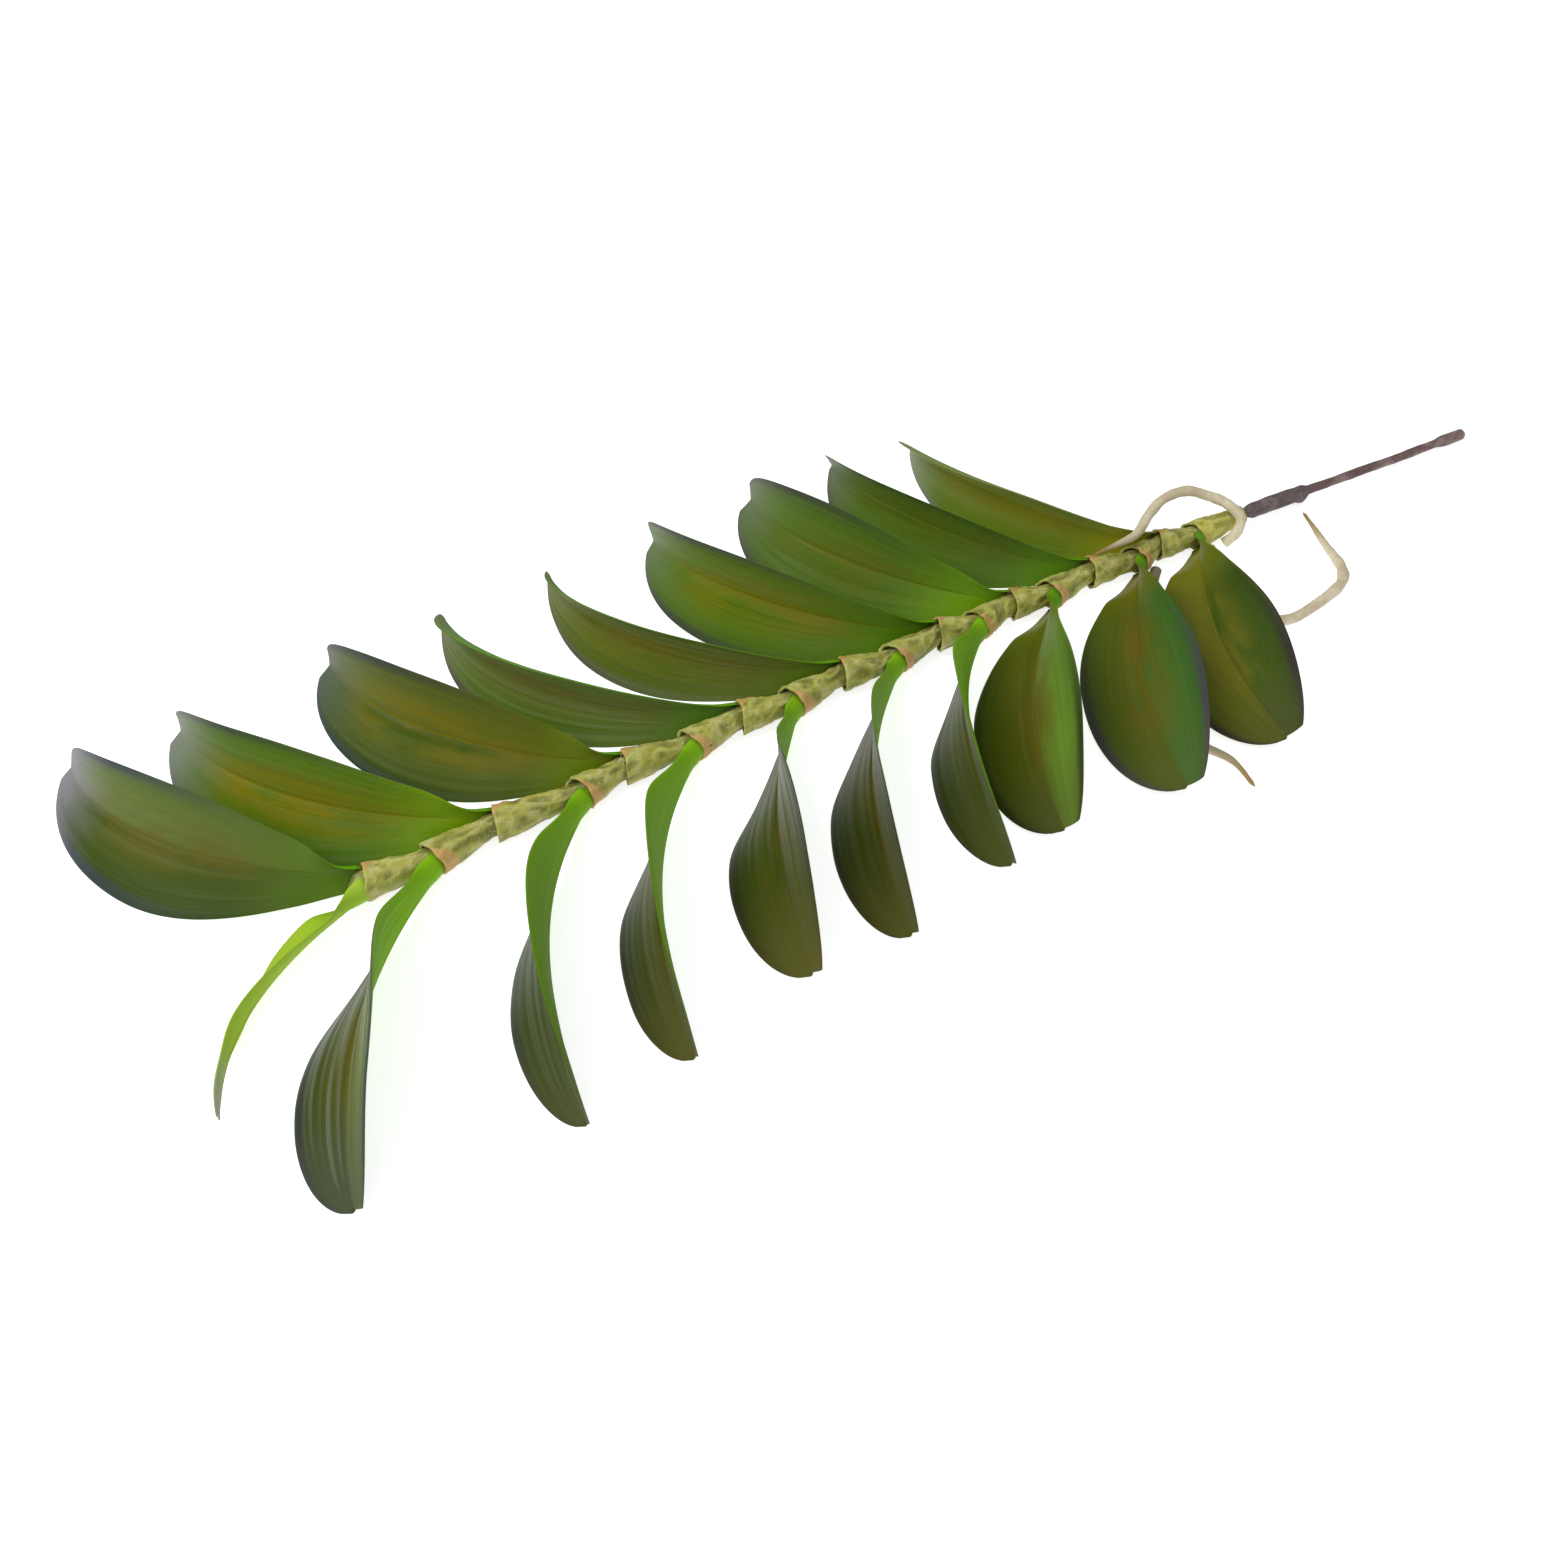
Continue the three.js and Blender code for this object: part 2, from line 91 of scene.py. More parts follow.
def stem_point(x):
    """The stem's centre at a distance x from the youngest node."""
    bare = ease(FOLIAGE_END - INTERNODE, STEM_LENGTH, x)
    bow = -STEM_BOW * (max(0.0, x) / STEM_LENGTH) ** BOW_POWER
    return Vector((x, bow, mix(SHEATH_HEIGHT, CUT_END_RADIUS + REST_GAP, bare)))


# Distance of each node from the youngest one.
STATIONS = [x * MM for x in (
    0, 27, 56, 93, 115, 145, 171, 195, 223, 248, 274, 293, 315, 334, 360, 384, 400, 420, 451)]


def leaf_side(number):
    """1 for the rank towards +Y and -1 for the rank towards -Y."""
    return -1 if number % 2 == 0 else 1


def node_point(index):
    """The stem's centre at a node, a step to the side of the node's own leaf."""
    step = leaf_side(index + 1) * ZIGZAG if index < SHEATH_COUNT else 0.0
    return stem_point(STATIONS[index]) + Vector((0, step, 0))


# %% [markdown]
# ## The camera
# A long lens would flatten the row of leaves. This view stands near the growing tip and looks down
# along the stem at about 46 degrees, with a normal lens, so the near leaves are clearly larger than
# the far ones.

# %% Camera
CAMERA_AT = Vector((-100.857, -435.584, 501.427)) * MM + OFFSET
CAMERA_DOWN = math.radians(46)
CAMERA_HEADING = Vector((0.558, 0.83, 0)).normalized()
LENS_ANGLE = math.radians(50)
NEAREST_SEEN = 10 * MM

scene = bpy.context.scene
camera = bpy.data.objects.new("camera", bpy.data.cameras.new("camera"))
scene.collection.objects.link(camera)
camera.location = CAMERA_AT
look = CAMERA_HEADING * math.cos(CAMERA_DOWN) - Vector((0, 0, math.sin(CAMERA_DOWN)))
camera.rotation_mode = "QUATERNION"
camera.rotation_quaternion = look.to_track_quat("-Z", "Y")
camera.data.sensor_fit = "HORIZONTAL"
camera.data.angle = LENS_ANGLE
camera.data.clip_start = NEAREST_SEEN
bpy.context.scene.camera = camera
print("camera at", [round(v, 3) for v in camera.location])

# %% [markdown]
# ## Table and light
# The plant lies on a plain pale surface in a light tent: a bright even sky, with one large soft
# lamp from behind and the left, which gives waxy leaves their pale streaks, and a weaker one in front.
# The floor glows a little, so it stays pale while shadows stay faint. The plain Standard view keeps
# greens as they are painted.

# %% Floor
FLOOR_REACH = 6.0
FLOOR_GREY = (0.62, 0.62, 0.68, 1)
FLOOR_GLOW = 0.72


def new_finish(name, roughness=0.5):
    """A material, its node tree and its Principled shader."""
    finish = bpy.data.materials.new(name)
    finish.use_nodes = True
    shader = finish.node_tree.nodes["Principled BSDF"]
    shader.inputs["Roughness"].default_value = roughness
    return finish, finish.node_tree, shader


scene.view_settings.view_transform = "Standard"
scene.view_settings.look = "None"
floor_mesh = bmesh.new()
bmesh.ops.create_grid(floor_mesh, x_segments=1, y_segments=1, size=FLOOR_REACH)
floor_data = bpy.data.meshes.new("floor")
floor_mesh.to_mesh(floor_data)
floor_mesh.free()
floor = bpy.data.objects.new("floor", floor_data)
scene.collection.objects.link(floor)
floor_finish, _, floor_shader = new_finish("floor_white", 0.9)
floor_shader.inputs["Base Color"].default_value = FLOOR_GREY
floor_shader.inputs["Specular IOR Level"].default_value = 0.1
floor_shader.inputs["Emission Color"].default_value = (1, 1, 1, 1)
floor_shader.inputs["Emission Strength"].default_value = FLOOR_GLOW
floor_data.materials.append(floor_finish)
print("floor", 2 * FLOOR_REACH, "m wide")

# %% Sky and lamps
SKY_COLOUR = (1.0, 0.99, 0.97, 1)
SKY_STRENGTH = 0.44
# Where each lamp stands in metres, its watts and the side of its square in metres.
LAMPS = {
    "key_lamp": ((-1.1, 0.5, 1.6), 25, 1.2),
    "fill_lamp": ((-0.7, -1.1, 1.2), 10, 1.3),
}

sky = bpy.data.worlds.new("studio")
sky.use_nodes = True
sky.node_tree.nodes["Background"].inputs["Color"].default_value = SKY_COLOUR
sky.node_tree.nodes["Background"].inputs["Strength"].default_value = SKY_STRENGTH
scene.world = sky
for name, (at, watts, size) in LAMPS.items():
    light = bpy.data.lights.new(name, "AREA")
    light.energy = watts
    light.size = size
    lamp = bpy.data.objects.new(name, light)
    lamp.location = at
    lamp.rotation_mode = "QUATERNION"
    lamp.rotation_quaternion = (-Vector(at)).to_track_quat("-Z", "Y")
    scene.collection.objects.link(lamp)
    print(name, "of", watts, "W at", at)

# %% [markdown]
# ## Finishing a piece
# Each piece is modelled in a bmesh, in the stem's own coordinates, and comes out through one helper:
# it moves the mesh into the frame's coordinates, shades it smooth, gives it its material, lets it
# ride on the frame's one body and hides the frame's own part for the node it stands for.

# %% Helpers that look a bmesh over and turn it into a finished piece
def open_edges(shape):
    """How many edges don't have exactly two faces."""
    return sum(not edge.is_manifold for edge in shape.edges)


def finish_piece(name, shape, finish, node):
    """Makes an object of a bmesh that is in the stem's own coordinates."""
    bmesh.ops.translate(shape, verts=shape.verts, vec=OFFSET)
    for face in shape.faces:
        face.smooth = True
    data = bpy.data.meshes.new(name)
    shape.to_mesh(data)
    shape.free()
    data.materials.append(finish)
    piece = bpy.data.objects.new(name, data)
    scene.collection.objects.link(piece)
    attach(piece, "root")
    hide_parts(node)
    return piece


# %% [markdown]
# ## Painting with nodes
# A material could be wired by hand in the node editor, but long ones become hard to read there. Here
# a few small helpers carry them: one plugs in a number or another node's output, some do sums and
# steps, and the last ones lay one colour over another, as a glaze is laid over paint.

# %% Helpers for numbers in a material
def paint(code):
    """A colour written as six hex digits, as the shader wants it."""
    channels = [int(code[i:i + 2], 16) / 255 for i in (0, 2, 4)]
    return tuple(c / 12.92 if c <= 0.04045 else ((c + 0.055) / 1.055) ** 2.4 for c in channels)


def plug(tree, socket, value):
    """Links an output to the socket, or sets the socket's own value. A colour may be six hex digits."""
    if isinstance(value, bpy.types.NodeSocket):
        tree.links.new(value, socket)
        return
    if isinstance(value, str):
        value = paint(value)
    socket.default_value = (*value, 1) if socket.type == "RGBA" else value


def add_node(tree, kind, **inputs):
    """A new shader node with some of its inputs set to values or linked to other nodes' outputs."""
    node = tree.nodes.new(kind)
    for name, value in inputs.items():
        plug(tree, node.inputs[name.replace("_", " ")], value)
    return node


def sums(tree, operation, *values):
    """A Math node's output."""
    node = tree.nodes.new("ShaderNodeMath")
    node.operation = operation
    for socket, value in zip(node.inputs, values):
        plug(tree, socket, value)
    return node.outputs[0]


def plus(tree, first, second):
    return sums(tree, "ADD", first, second)


def times(tree, first, second):
    return sums(tree, "MULTIPLY", first, second)


def stepped(tree, value, start, stop):
    """0 where value is before start, 1 past stop, and smooth between them."""
    node = tree.nodes.new("ShaderNodeMapRange")
    node.interpolation_type = "SMOOTHSTEP"
    plug(tree, node.inputs["Value"], value)
    plug(tree, node.inputs["From Min"], start)
    plug(tree, node.inputs["From Max"], stop)
    return node.outputs["Result"]


def fades(tree, value, start, stop):
    """1 where value is before start, 0 past stop, and smooth between them."""
    return sums(tree, "SUBTRACT", 1.0, stepped(tree, value, start, stop))


# %% Helpers for patterns and colours
def surface_noise(tree, where, scale, detail, roughness):
    """Noise from 0 to 1 at a place."""
    node = add_node(tree, "ShaderNodeTexNoise", Scale=scale, Detail=detail, Roughness=roughness, Vector=where)
    return node.outputs["Fac"]


def attribute(tree, name):
    """A mesh's own number at each point."""
    node = tree.nodes.new("ShaderNodeAttribute")
    node.attribute_name = name
    return node.outputs["Fac"]


def blend_colours(tree, share, first, second, how="MIX"):
    """first where share is 0 and second where it is 1."""
    node = tree.nodes.new("ShaderNodeMix")
    node.data_type = "RGBA"
    node.blend_type = how
    factor, first_colour, second_colour = node.inputs[0], node.inputs[6], node.inputs[7]
    plug(tree, factor, share)
    plug(tree, first_colour, first)
    plug(tree, second_colour, second)
    return node.outputs[2]


def layered(tree, colour, over, mask, strength):
    """The colour with another laid over it where the mask is 1, as strongly as given."""
    return blend_colours(tree, times(tree, mask, strength), colour, over)


def shaded(tree, colour, tint, mask, strength):
    """The colour, multiplied by a tint where the mask is 1."""
    return layered(tree, colour, blend_colours(tree, 1.0, colour, tint, "MULTIPLY"), mask, strength)


# %% Helpers for materials
def node_group(name, inputs, outputs):
    """An empty shader group with named sockets, and its two end nodes."""
    group = bpy.data.node_groups.new(name, "ShaderNodeTree")
    kinds = {"colour": "NodeSocketColor", "number": "NodeSocketFloat"}
    for socket, kind in inputs:
        group.interface.new_socket(name=socket, in_out="INPUT", socket_type=kinds[kind])
    for socket, kind in outputs:
        group.interface.new_socket(name=socket, in_out="OUTPUT", socket_type=kinds[kind])
    return group, group.nodes.new("NodeGroupInput"), group.nodes.new("NodeGroupOutput")


def give_relief(tree, shader, height, strength, distance):
    """Fine relief that is too small for the mesh."""
    bump = add_node(tree, "ShaderNodeBump", Strength=strength, Distance=distance, Height=height)
    plug(tree, shader.inputs["Normal"], bump.outputs["Normal"])


# %% [markdown]
# ## Leaf tissue
# A strap leaf is coloured along its length and across its width, not at random: the base is fresh
# green, the midrib shows as a pale line in a brownish band, fine veins run side by side from base to
# tip, the margins turn purple-grey and the tip is dull and grey, partly with a painted sheen. Painted
# highlights lie on the pleats' ridges, and painted shade darkens each half towards its margin. A
# pattern on the object's own coordinates would cut across the veins. So each blade's mesh carries
# numbers at every point, along, across, face and ridge, and one shader group, shared by all leaves,
# reads them.

# %% The leaf tissue group
tissue, tissue_in, tissue_out = node_group(
    "leaf_tissue",
    [("Low half", "colour"), ("High half", "colour"), ("Rib band", "colour"), ("Band", "number"),
     ("Base", "colour"), ("Base reach", "number"), ("Under", "colour"), ("Tip and sheen", "colour"),
     ("Dull tip and sheen", "number"), ("Margin", "colour"), ("Sheen", "colour"), ("Streaks", "number"),
     ("Seed", "number")],
    [("Colour", "colour"), ("Roughness", "number"), ("Height", "number")],
)
given = tissue_in.outputs
print("leaf tissue takes", [socket.name for socket in given if socket.name])

# %% [markdown]
# Noise that is quick across the blade and slow along it turns into veins. The same noise at other
# paces gives hair-fine lines, broad patches and specks.

# %% Places and noises on a blade
along = attribute(tissue, "along")
across = attribute(tissue, "across")
ridge = attribute(tissue, "ridge")
out = sums(tissue, "ABSOLUTE", across)
upper = sums(tissue, "GREATER_THAN", attribute(tissue, "face"), 0.0)


def streaked(wide, long, detail, roughness):
    """Noise that changes wide times across half a blade and long times along it."""
    place = add_node(tissue, "ShaderNodeCombineXYZ", X=times(tissue, across, wide),
                     Y=times(tissue, along, long), Z=given["Seed"])
    return surface_noise(tissue, place.outputs[0], 1.0, detail, roughness)


veins = streaked(26.0, 1.3, 3.0, 0.6)
fine_lines = streaked(90.0, 2.5, 2.0, 0.5)
patches = streaked(2.2, 3.6, 3.0, 0.55)
specks = streaked(60.0, 160.0, 2.0, 0.5)

# %% [markdown]
# The upper face is painted in layers. First come its two halves, with a brownish band beside the midrib
# where the patches allow it, and then the dark veins, a painted highlight on the ridges between them and
# the fine lines.

# %% Halves, band, veins and painted ridge highlights
halves = blend_colours(tissue, stepped(tissue, across, -0.06, 0.06), given["Low half"], given["High half"])
near_rib = fades(tissue, out, 0.02, 0.75)
middle = times(tissue, stepped(tissue, along, 0.08, 0.4), fades(tissue, along, 0.6, 1.0))
band = times(tissue, times(tissue, near_rib, middle), stepped(tissue, patches, 0.3, 0.6))
colour = layered(tissue, halves, given["Rib band"], band, given["Band"])
dark_vein = times(tissue, stepped(tissue, veins, 0.5, 0.72), given["Streaks"])
colour = shaded(tissue, colour, (0.42, 0.42, 0.42), dark_vein, 0.65)
# Painted highlight: the Sheen colour is laid on the pleats' ridges, where light would catch them.
painted_ridge_highlight = times(tissue, stepped(tissue, ridge, 0.1, 0.5), given["Streaks"])
colour = layered(tissue, colour, given["Sheen"], painted_ridge_highlight, 0.45)
colour = shaded(tissue, colour, (0.5, 0.5, 0.5), stepped(tissue, fine_lines, 0.45, 0.75), 0.18)

# %% Fresh base, midrib line, margins, painted margin shade and a dull tip with a painted sheen
colour = layered(tissue, colour, given["Base"], fades(tissue, along, 0.02, given["Base reach"]), 0.85)
rib_line = times(tissue, fades(tissue, out, 0.008, 0.03), fades(tissue, along, 0.75, 0.98))
colour = layered(tissue, colour, given["Rib band"], rib_line, 0.5)
near_margin = stepped(tissue, plus(tissue, out, times(tissue, patches, 0.16)), 0.84, 1.02)
margin = times(tissue, near_margin, stepped(tissue, along, 0.25, 0.8))
colour = layered(tissue, colour, given["Margin"], margin, 0.85)
# Painted shade: each half darkens with a blue-grey tint towards its margin.
painted_margin_shade = times(tissue, stepped(tissue, out, 0.45, 0.95), stepped(tissue, along, 0.1, 0.6))
colour = shaded(tissue, colour, (0.4, 0.42, 0.45), painted_margin_shade, 0.4)
# Painted sheen: the tip's grey colour is partly its own dull tissue and partly a painted reflection.
tip = stepped(tissue, plus(tissue, along, times(tissue, patches, 0.2)), 0.82, 1.12)
colour = layered(tissue, colour, given["Tip and sheen"], tip, given["Dull tip and sheen"])

# %% [markdown]
# The underside is plainer and brighter, with the same veins, and duller than the waxy upper face. Both
# faces get the specks. The veins stand up a little, which the relief needs to know.

# %% Underside, gloss and relief of the tissue
WAXY = 0.3
towards_tip = blend_colours(tissue, 0.6, given["Under"], given["Low half"])
under = blend_colours(tissue, stepped(tissue, along, 0.25, 0.95), given["Under"], towards_tip)
under = shaded(tissue, under, (0.5, 0.55, 0.4), stepped(tissue, veins, 0.45, 0.7), 0.22)
# The same tip colour, with its painted sheen, on the underside.
under = layered(tissue, under, given["Tip and sheen"], tip, given["Dull tip and sheen"])
colour = blend_colours(tissue, upper, under, colour)
colour = shaded(tissue, colour, (0.6, 0.6, 0.6), specks, 0.12)

roughness = plus(tissue, WAXY, times(tissue, patches, 0.18))
roughness = plus(tissue, roughness, times(tissue, tip, 0.12))
lower = sums(tissue, "SUBTRACT", 1.0, upper)
roughness = plus(tissue, roughness, times(tissue, lower, 0.3))
height = plus(tissue, times(tissue, veins, 0.7), times(tissue, fine_lines, 0.3))
height = plus(tissue, height, times(tissue, specks, 0.06))
for name, value in (("Colour", colour), ("Roughness", roughness), ("Height", height)):
    plug(tissue, tissue_out.inputs[name], value)
print("leaf tissue:", len(tissue.nodes), "nodes")

# %% [markdown]
# ## Each leaf's own colours
# No two leaves are of the same age: the youngest leaf is yellow-green and the oldest ones have tanned.
# The front rank is painted darker than the back rank, as painted shade for the shade it hangs in, and
# its bright undersides are partly painted light that shines through them. One paint for all would
# look like plastic, so each leaf has its own row of paints for the shared tissue.

# %% Paints and finish of each leaf
# The columns are in the order of the tissue's own sockets, up to the streaks.
# Painted shade: the even rows, the front rank, have darker upper faces, and their brighter undersides are
# partly painted light shining through.
LEAF_PAINTS = {
    0: ("9cbc2c", "a4c436", "a8c43c", 0.4, "6ca020", 0.25, "a4c83a", "aaa89c", 0.95, "a4bc4a", "b8cc80", 0.3),
    1: ("3a4c0c", "586a28", "5c5616", 0.8, "52700e", 0.35, "66a010", "7e7c84", 0.9, "37404a", "6a7850", 0.3),
    2: ("384408", "54661e", "565008", 0.8, "55940e", 0.22, "84bc14", "444a3c", 0.6, "2c3230", "7c8476", 0.75),
    3: ("4a6a04", "5e7c10", "7c7006", 1.0, "80a406", 0.35, "66a010", "7c8078", 0.8, "3a463c", "808c58", 0.3),
    4: ("30400a", "384a0c", "4a4a0a", 0.6, "447a0c", 0.15, "84bc14", "4c4a24", 0.6, "2c2e18", "545c34", 0.45),
    5: ("44540a", "5e6614", "7c6c0c", 0.75, "6e8408", 0.3, "66a010", "4c5850", 0.7, "343f3c", "707a3c", 0.4),
    6: ("38400a", "424c0c", "5c500e", 0.6, "4c7c0c", 0.15, "84bc14", "55521e", 0.6, "2c2e14", "525c2c", 0.4),
    7: ("566c20", "647832", "746a34", 0.7, "5c9022", 0.25, "66a010", "78745e", 0.7, "4e4844", "7c8458", 0.7),
    8: ("364208", "40480a", "584a0e", 0.7, "447a0c", 0.15, "84bc14", "5a5420", 0.6, "2e2818", "505a24", 0.4),
    9: ("566418", "606c20", "746820", 0.6, "66861a", 0.25, "66a010", "747858", 0.6, "565044", "788254", 0.7),
    10: ("323a06", "384008", "4e4008", 0.7, "4a760a", 0.15, "84bc14", "504c18", 0.6, "2a2412", "464c1a", 0.4),
    11: ("4e6a06", "5c780a", "786e08", 0.8, "568008", 0.35, "66a010", "5c6854", 0.6, "42403e", "6c7c3c", 0.5),
    12: ("38420a", "40500c", "584a0c", 0.6, "508808", 0.15, "84bc14", "4a4a18", 0.6, "2a2a16", "48561c", 0.4),
    13: ("486408", "527010", "64600c", 0.6, "74a00a", 0.4, "66a010", "646c58", 0.6, "42403e", "6a783c", 0.6),
    14: ("4a5408", "64862a", "62560e", 0.9, "70780a", 0.3, "66a010", "46461c", 0.5, "2a2c16", "627030", 0.5),
    15: ("486410", "526e14", "6a6c10", 0.5, "629012", 0.3, "66a010", "5e6254", 0.6, "3e3c42", "647844", 0.5),
    16: ("4a580a", "3c6420", "64560e", 0.8, "766e0a", 0.3, "66a010", "4c4c28", 0.4, "4c4050", "58703a", 0.35),
    17: ("627618", "74842a", "8c8018", 0.7, "a4a40e", 0.3, "7c9040", "88927a", 0.7, "6a6c5c", "88945c", 0.4),
    18: ("5a6010", "3a500c", "746a16", 0.7, "7a7c10", 0.35, "5e9818", "443e20", 0.5, "3a2c34", "6a7038", 0.5),
}
WAX_SHINE = 0.12
SEED_STEP = 7.3


def leaf_finish(number):
    """The leaf material of one blade."""
    finish, tree, shader = new_finish(f"leaf_{number:02d}")
    own = tree.nodes.new("ShaderNodeGroup")
    own.node_tree = tissue
    for socket, value in zip(own.inputs, (*LEAF_PAINTS[number], number * SEED_STEP)):
        plug(tree, socket, value)
    plug(tree, shader.inputs["Base Color"], own.outputs["Colour"])
    plug(tree, shader.inputs["Roughness"], own.outputs["Roughness"])
    give_relief(tree, shader, own.outputs["Height"], 0.35, 0.6 * MM)
    shader.inputs["Specular IOR Level"].default_value = WAX_SHINE
    return finish


# %% [markdown]
# ## The shape of a blade
# A blade isn't a flat cut-out: it wraps the stem at its base, turns, arches and folds along its
# midrib. It could be sculpted, but nineteen of them would never match the frame. So one flat sheet
# is made, given thickness, and every point of it is carried to its place by the same rule as the
# frame's own blades: a curved spine, and across it a channel section.

# %% Sizes of a blade
LEAF_LENGTH = 150 * MM
BLADE_WIDTH = 56 * MM
BLADE_THICKNESS = 1.8 * MM  # along the midrib
CLEARANCE = 0.35 * MM
MOUTH_SLANT = 1.4 * MM
BACK_TIP_HEIGHT = 20 * MM
FRONT_TIP_HEIGHT = 8 * MM
BASE_WRAP = math.radians(72)  # half of the angle that the base wraps round the stem
EARLY_CURL = 0.42  # share of a blade's curl that lies before its middle
FIRST_ARM = 0.32  # how long the blade keeps its first and its last direction, as shares of its length
LAST_ARM = 0.38
FIRST_LIFT = 0.3  # how much of the arch's height the blade's two middle controls take
LAST_LIFT = 0.9
KEEL_SHARE = 0.6  # share of the fold that is made along the midrib
HOLLOW_SHARE = 0.7  # share of the fold by which each half bends on towards its margin
MARGIN_THINNING = 0.5  # share of the thickness that is lost from midrib to margin
# Shares of the length: the base stops wrapping the stem, the turn starts and changes, the fold
# changes, and the notch between the lobes deepens.
WRAP_ENDS = 0.16
TURN_STARTS = (0, 0.2)
TURN_CHANGES = (0.15, 0.75)
FOLD_CHANGES = (0.15, 0.65)
NOTCH_DEEPENS = (0.8, 1)
TIP_NOTCH = 0.007  # share of the length by which the midrib stops short of the two lobes
UP = Vector((0, 0, 1))

# %% Outline of a blade
WIDEST_AT = 0.58
SWELL_POWER = 1.5  # how late it swells to its widest
SWELL_POWERS = {number: 2.4 for number in range(2, 13, 2)}
ROUND_POWER = 0.6  # how full its rounded end is
ROUND_POWERS = {0: 0.4, 7: 1.1, 9: 1.1, 15: 0.8, 17: 0.9}
TIP_HALF = 0.28  # half width at the very tip, as a share of the widest half
TIP_HALVES = {7: 0.1, 9: 0.1, 15: 0.12, 17: 0.12}
END_FULLNESS = 2  # how late it narrows past its widest
LOW_END = (0.5, 0.055, 3)  # the same three for the lower half of a front leaf, which ends rounder
SLIMNESS = {0: 0.3, 7: 0.92, 9: 0.82}  # width as a share of BLADE_WIDTH
RIBBON_WAISTS = [(0.1, 0.07, 0.3), (0.8, 0.1, 0.3)]  # the youngest leaf's: place, reach and depth

# reach, sweep, curl, turn at the base and tip, fold at the base and tip
LEAF_SHAPES = [
    (0.70, 38, 60, 60, 5, 30, 12),
    (0.86, 55, 70, 38, 34, 18, 18),
    (0.99, 54, 30, 10, 40, 20, 15),
    (0.89, 50, 72, 26, 27, 24, 24),
    (1.01, 61, 38, 0, 14, 20, 22),
    (0.88, 54, 74, 27, 28, 20, 22),
    (1.01, 58, 38, 0, 16, 20, 22),
    (0.90, 54, 86, 2, -2, 38, 36),
    (0.94, 58, 32, 6, 32, 20, 18),
    (0.91, 55, 90, 5, 0, 36, 34),
    (1.00, 55, 40, 6, 20, 20, 20),
    (0.89, 55, 86, 10, 12, 32, 28),
    (0.92, 56, 46, 0, 8, 20, 22),
    (0.86, 61, 80, 18, 22, 28, 24),
    (0.94, 51, 36, 40, 48, 26, 15),
    (0.87, 63, 84, 2, 0, 36, 35),
    (0.95, 55, 30, 50, 60, 26, 12),
    (0.82, 61, 95, -12, -20, 34, 30),
    (0.88, 62, 38, 52, 64, 26, 12),
]


def cubic(points, share):
    """A point and the direction of a cubic curve through four control points."""
    a, b, c, d = points
    rest = 1 - share
    place = a * rest**3 + b * (3 * rest**2 * share) + c * (3 * rest * share**2) + d * share**3
    pull = (b - a) * rest**2 + (c - b) * (2 * rest * share) + (d - c) * share**2
    return place, pull.normalized()


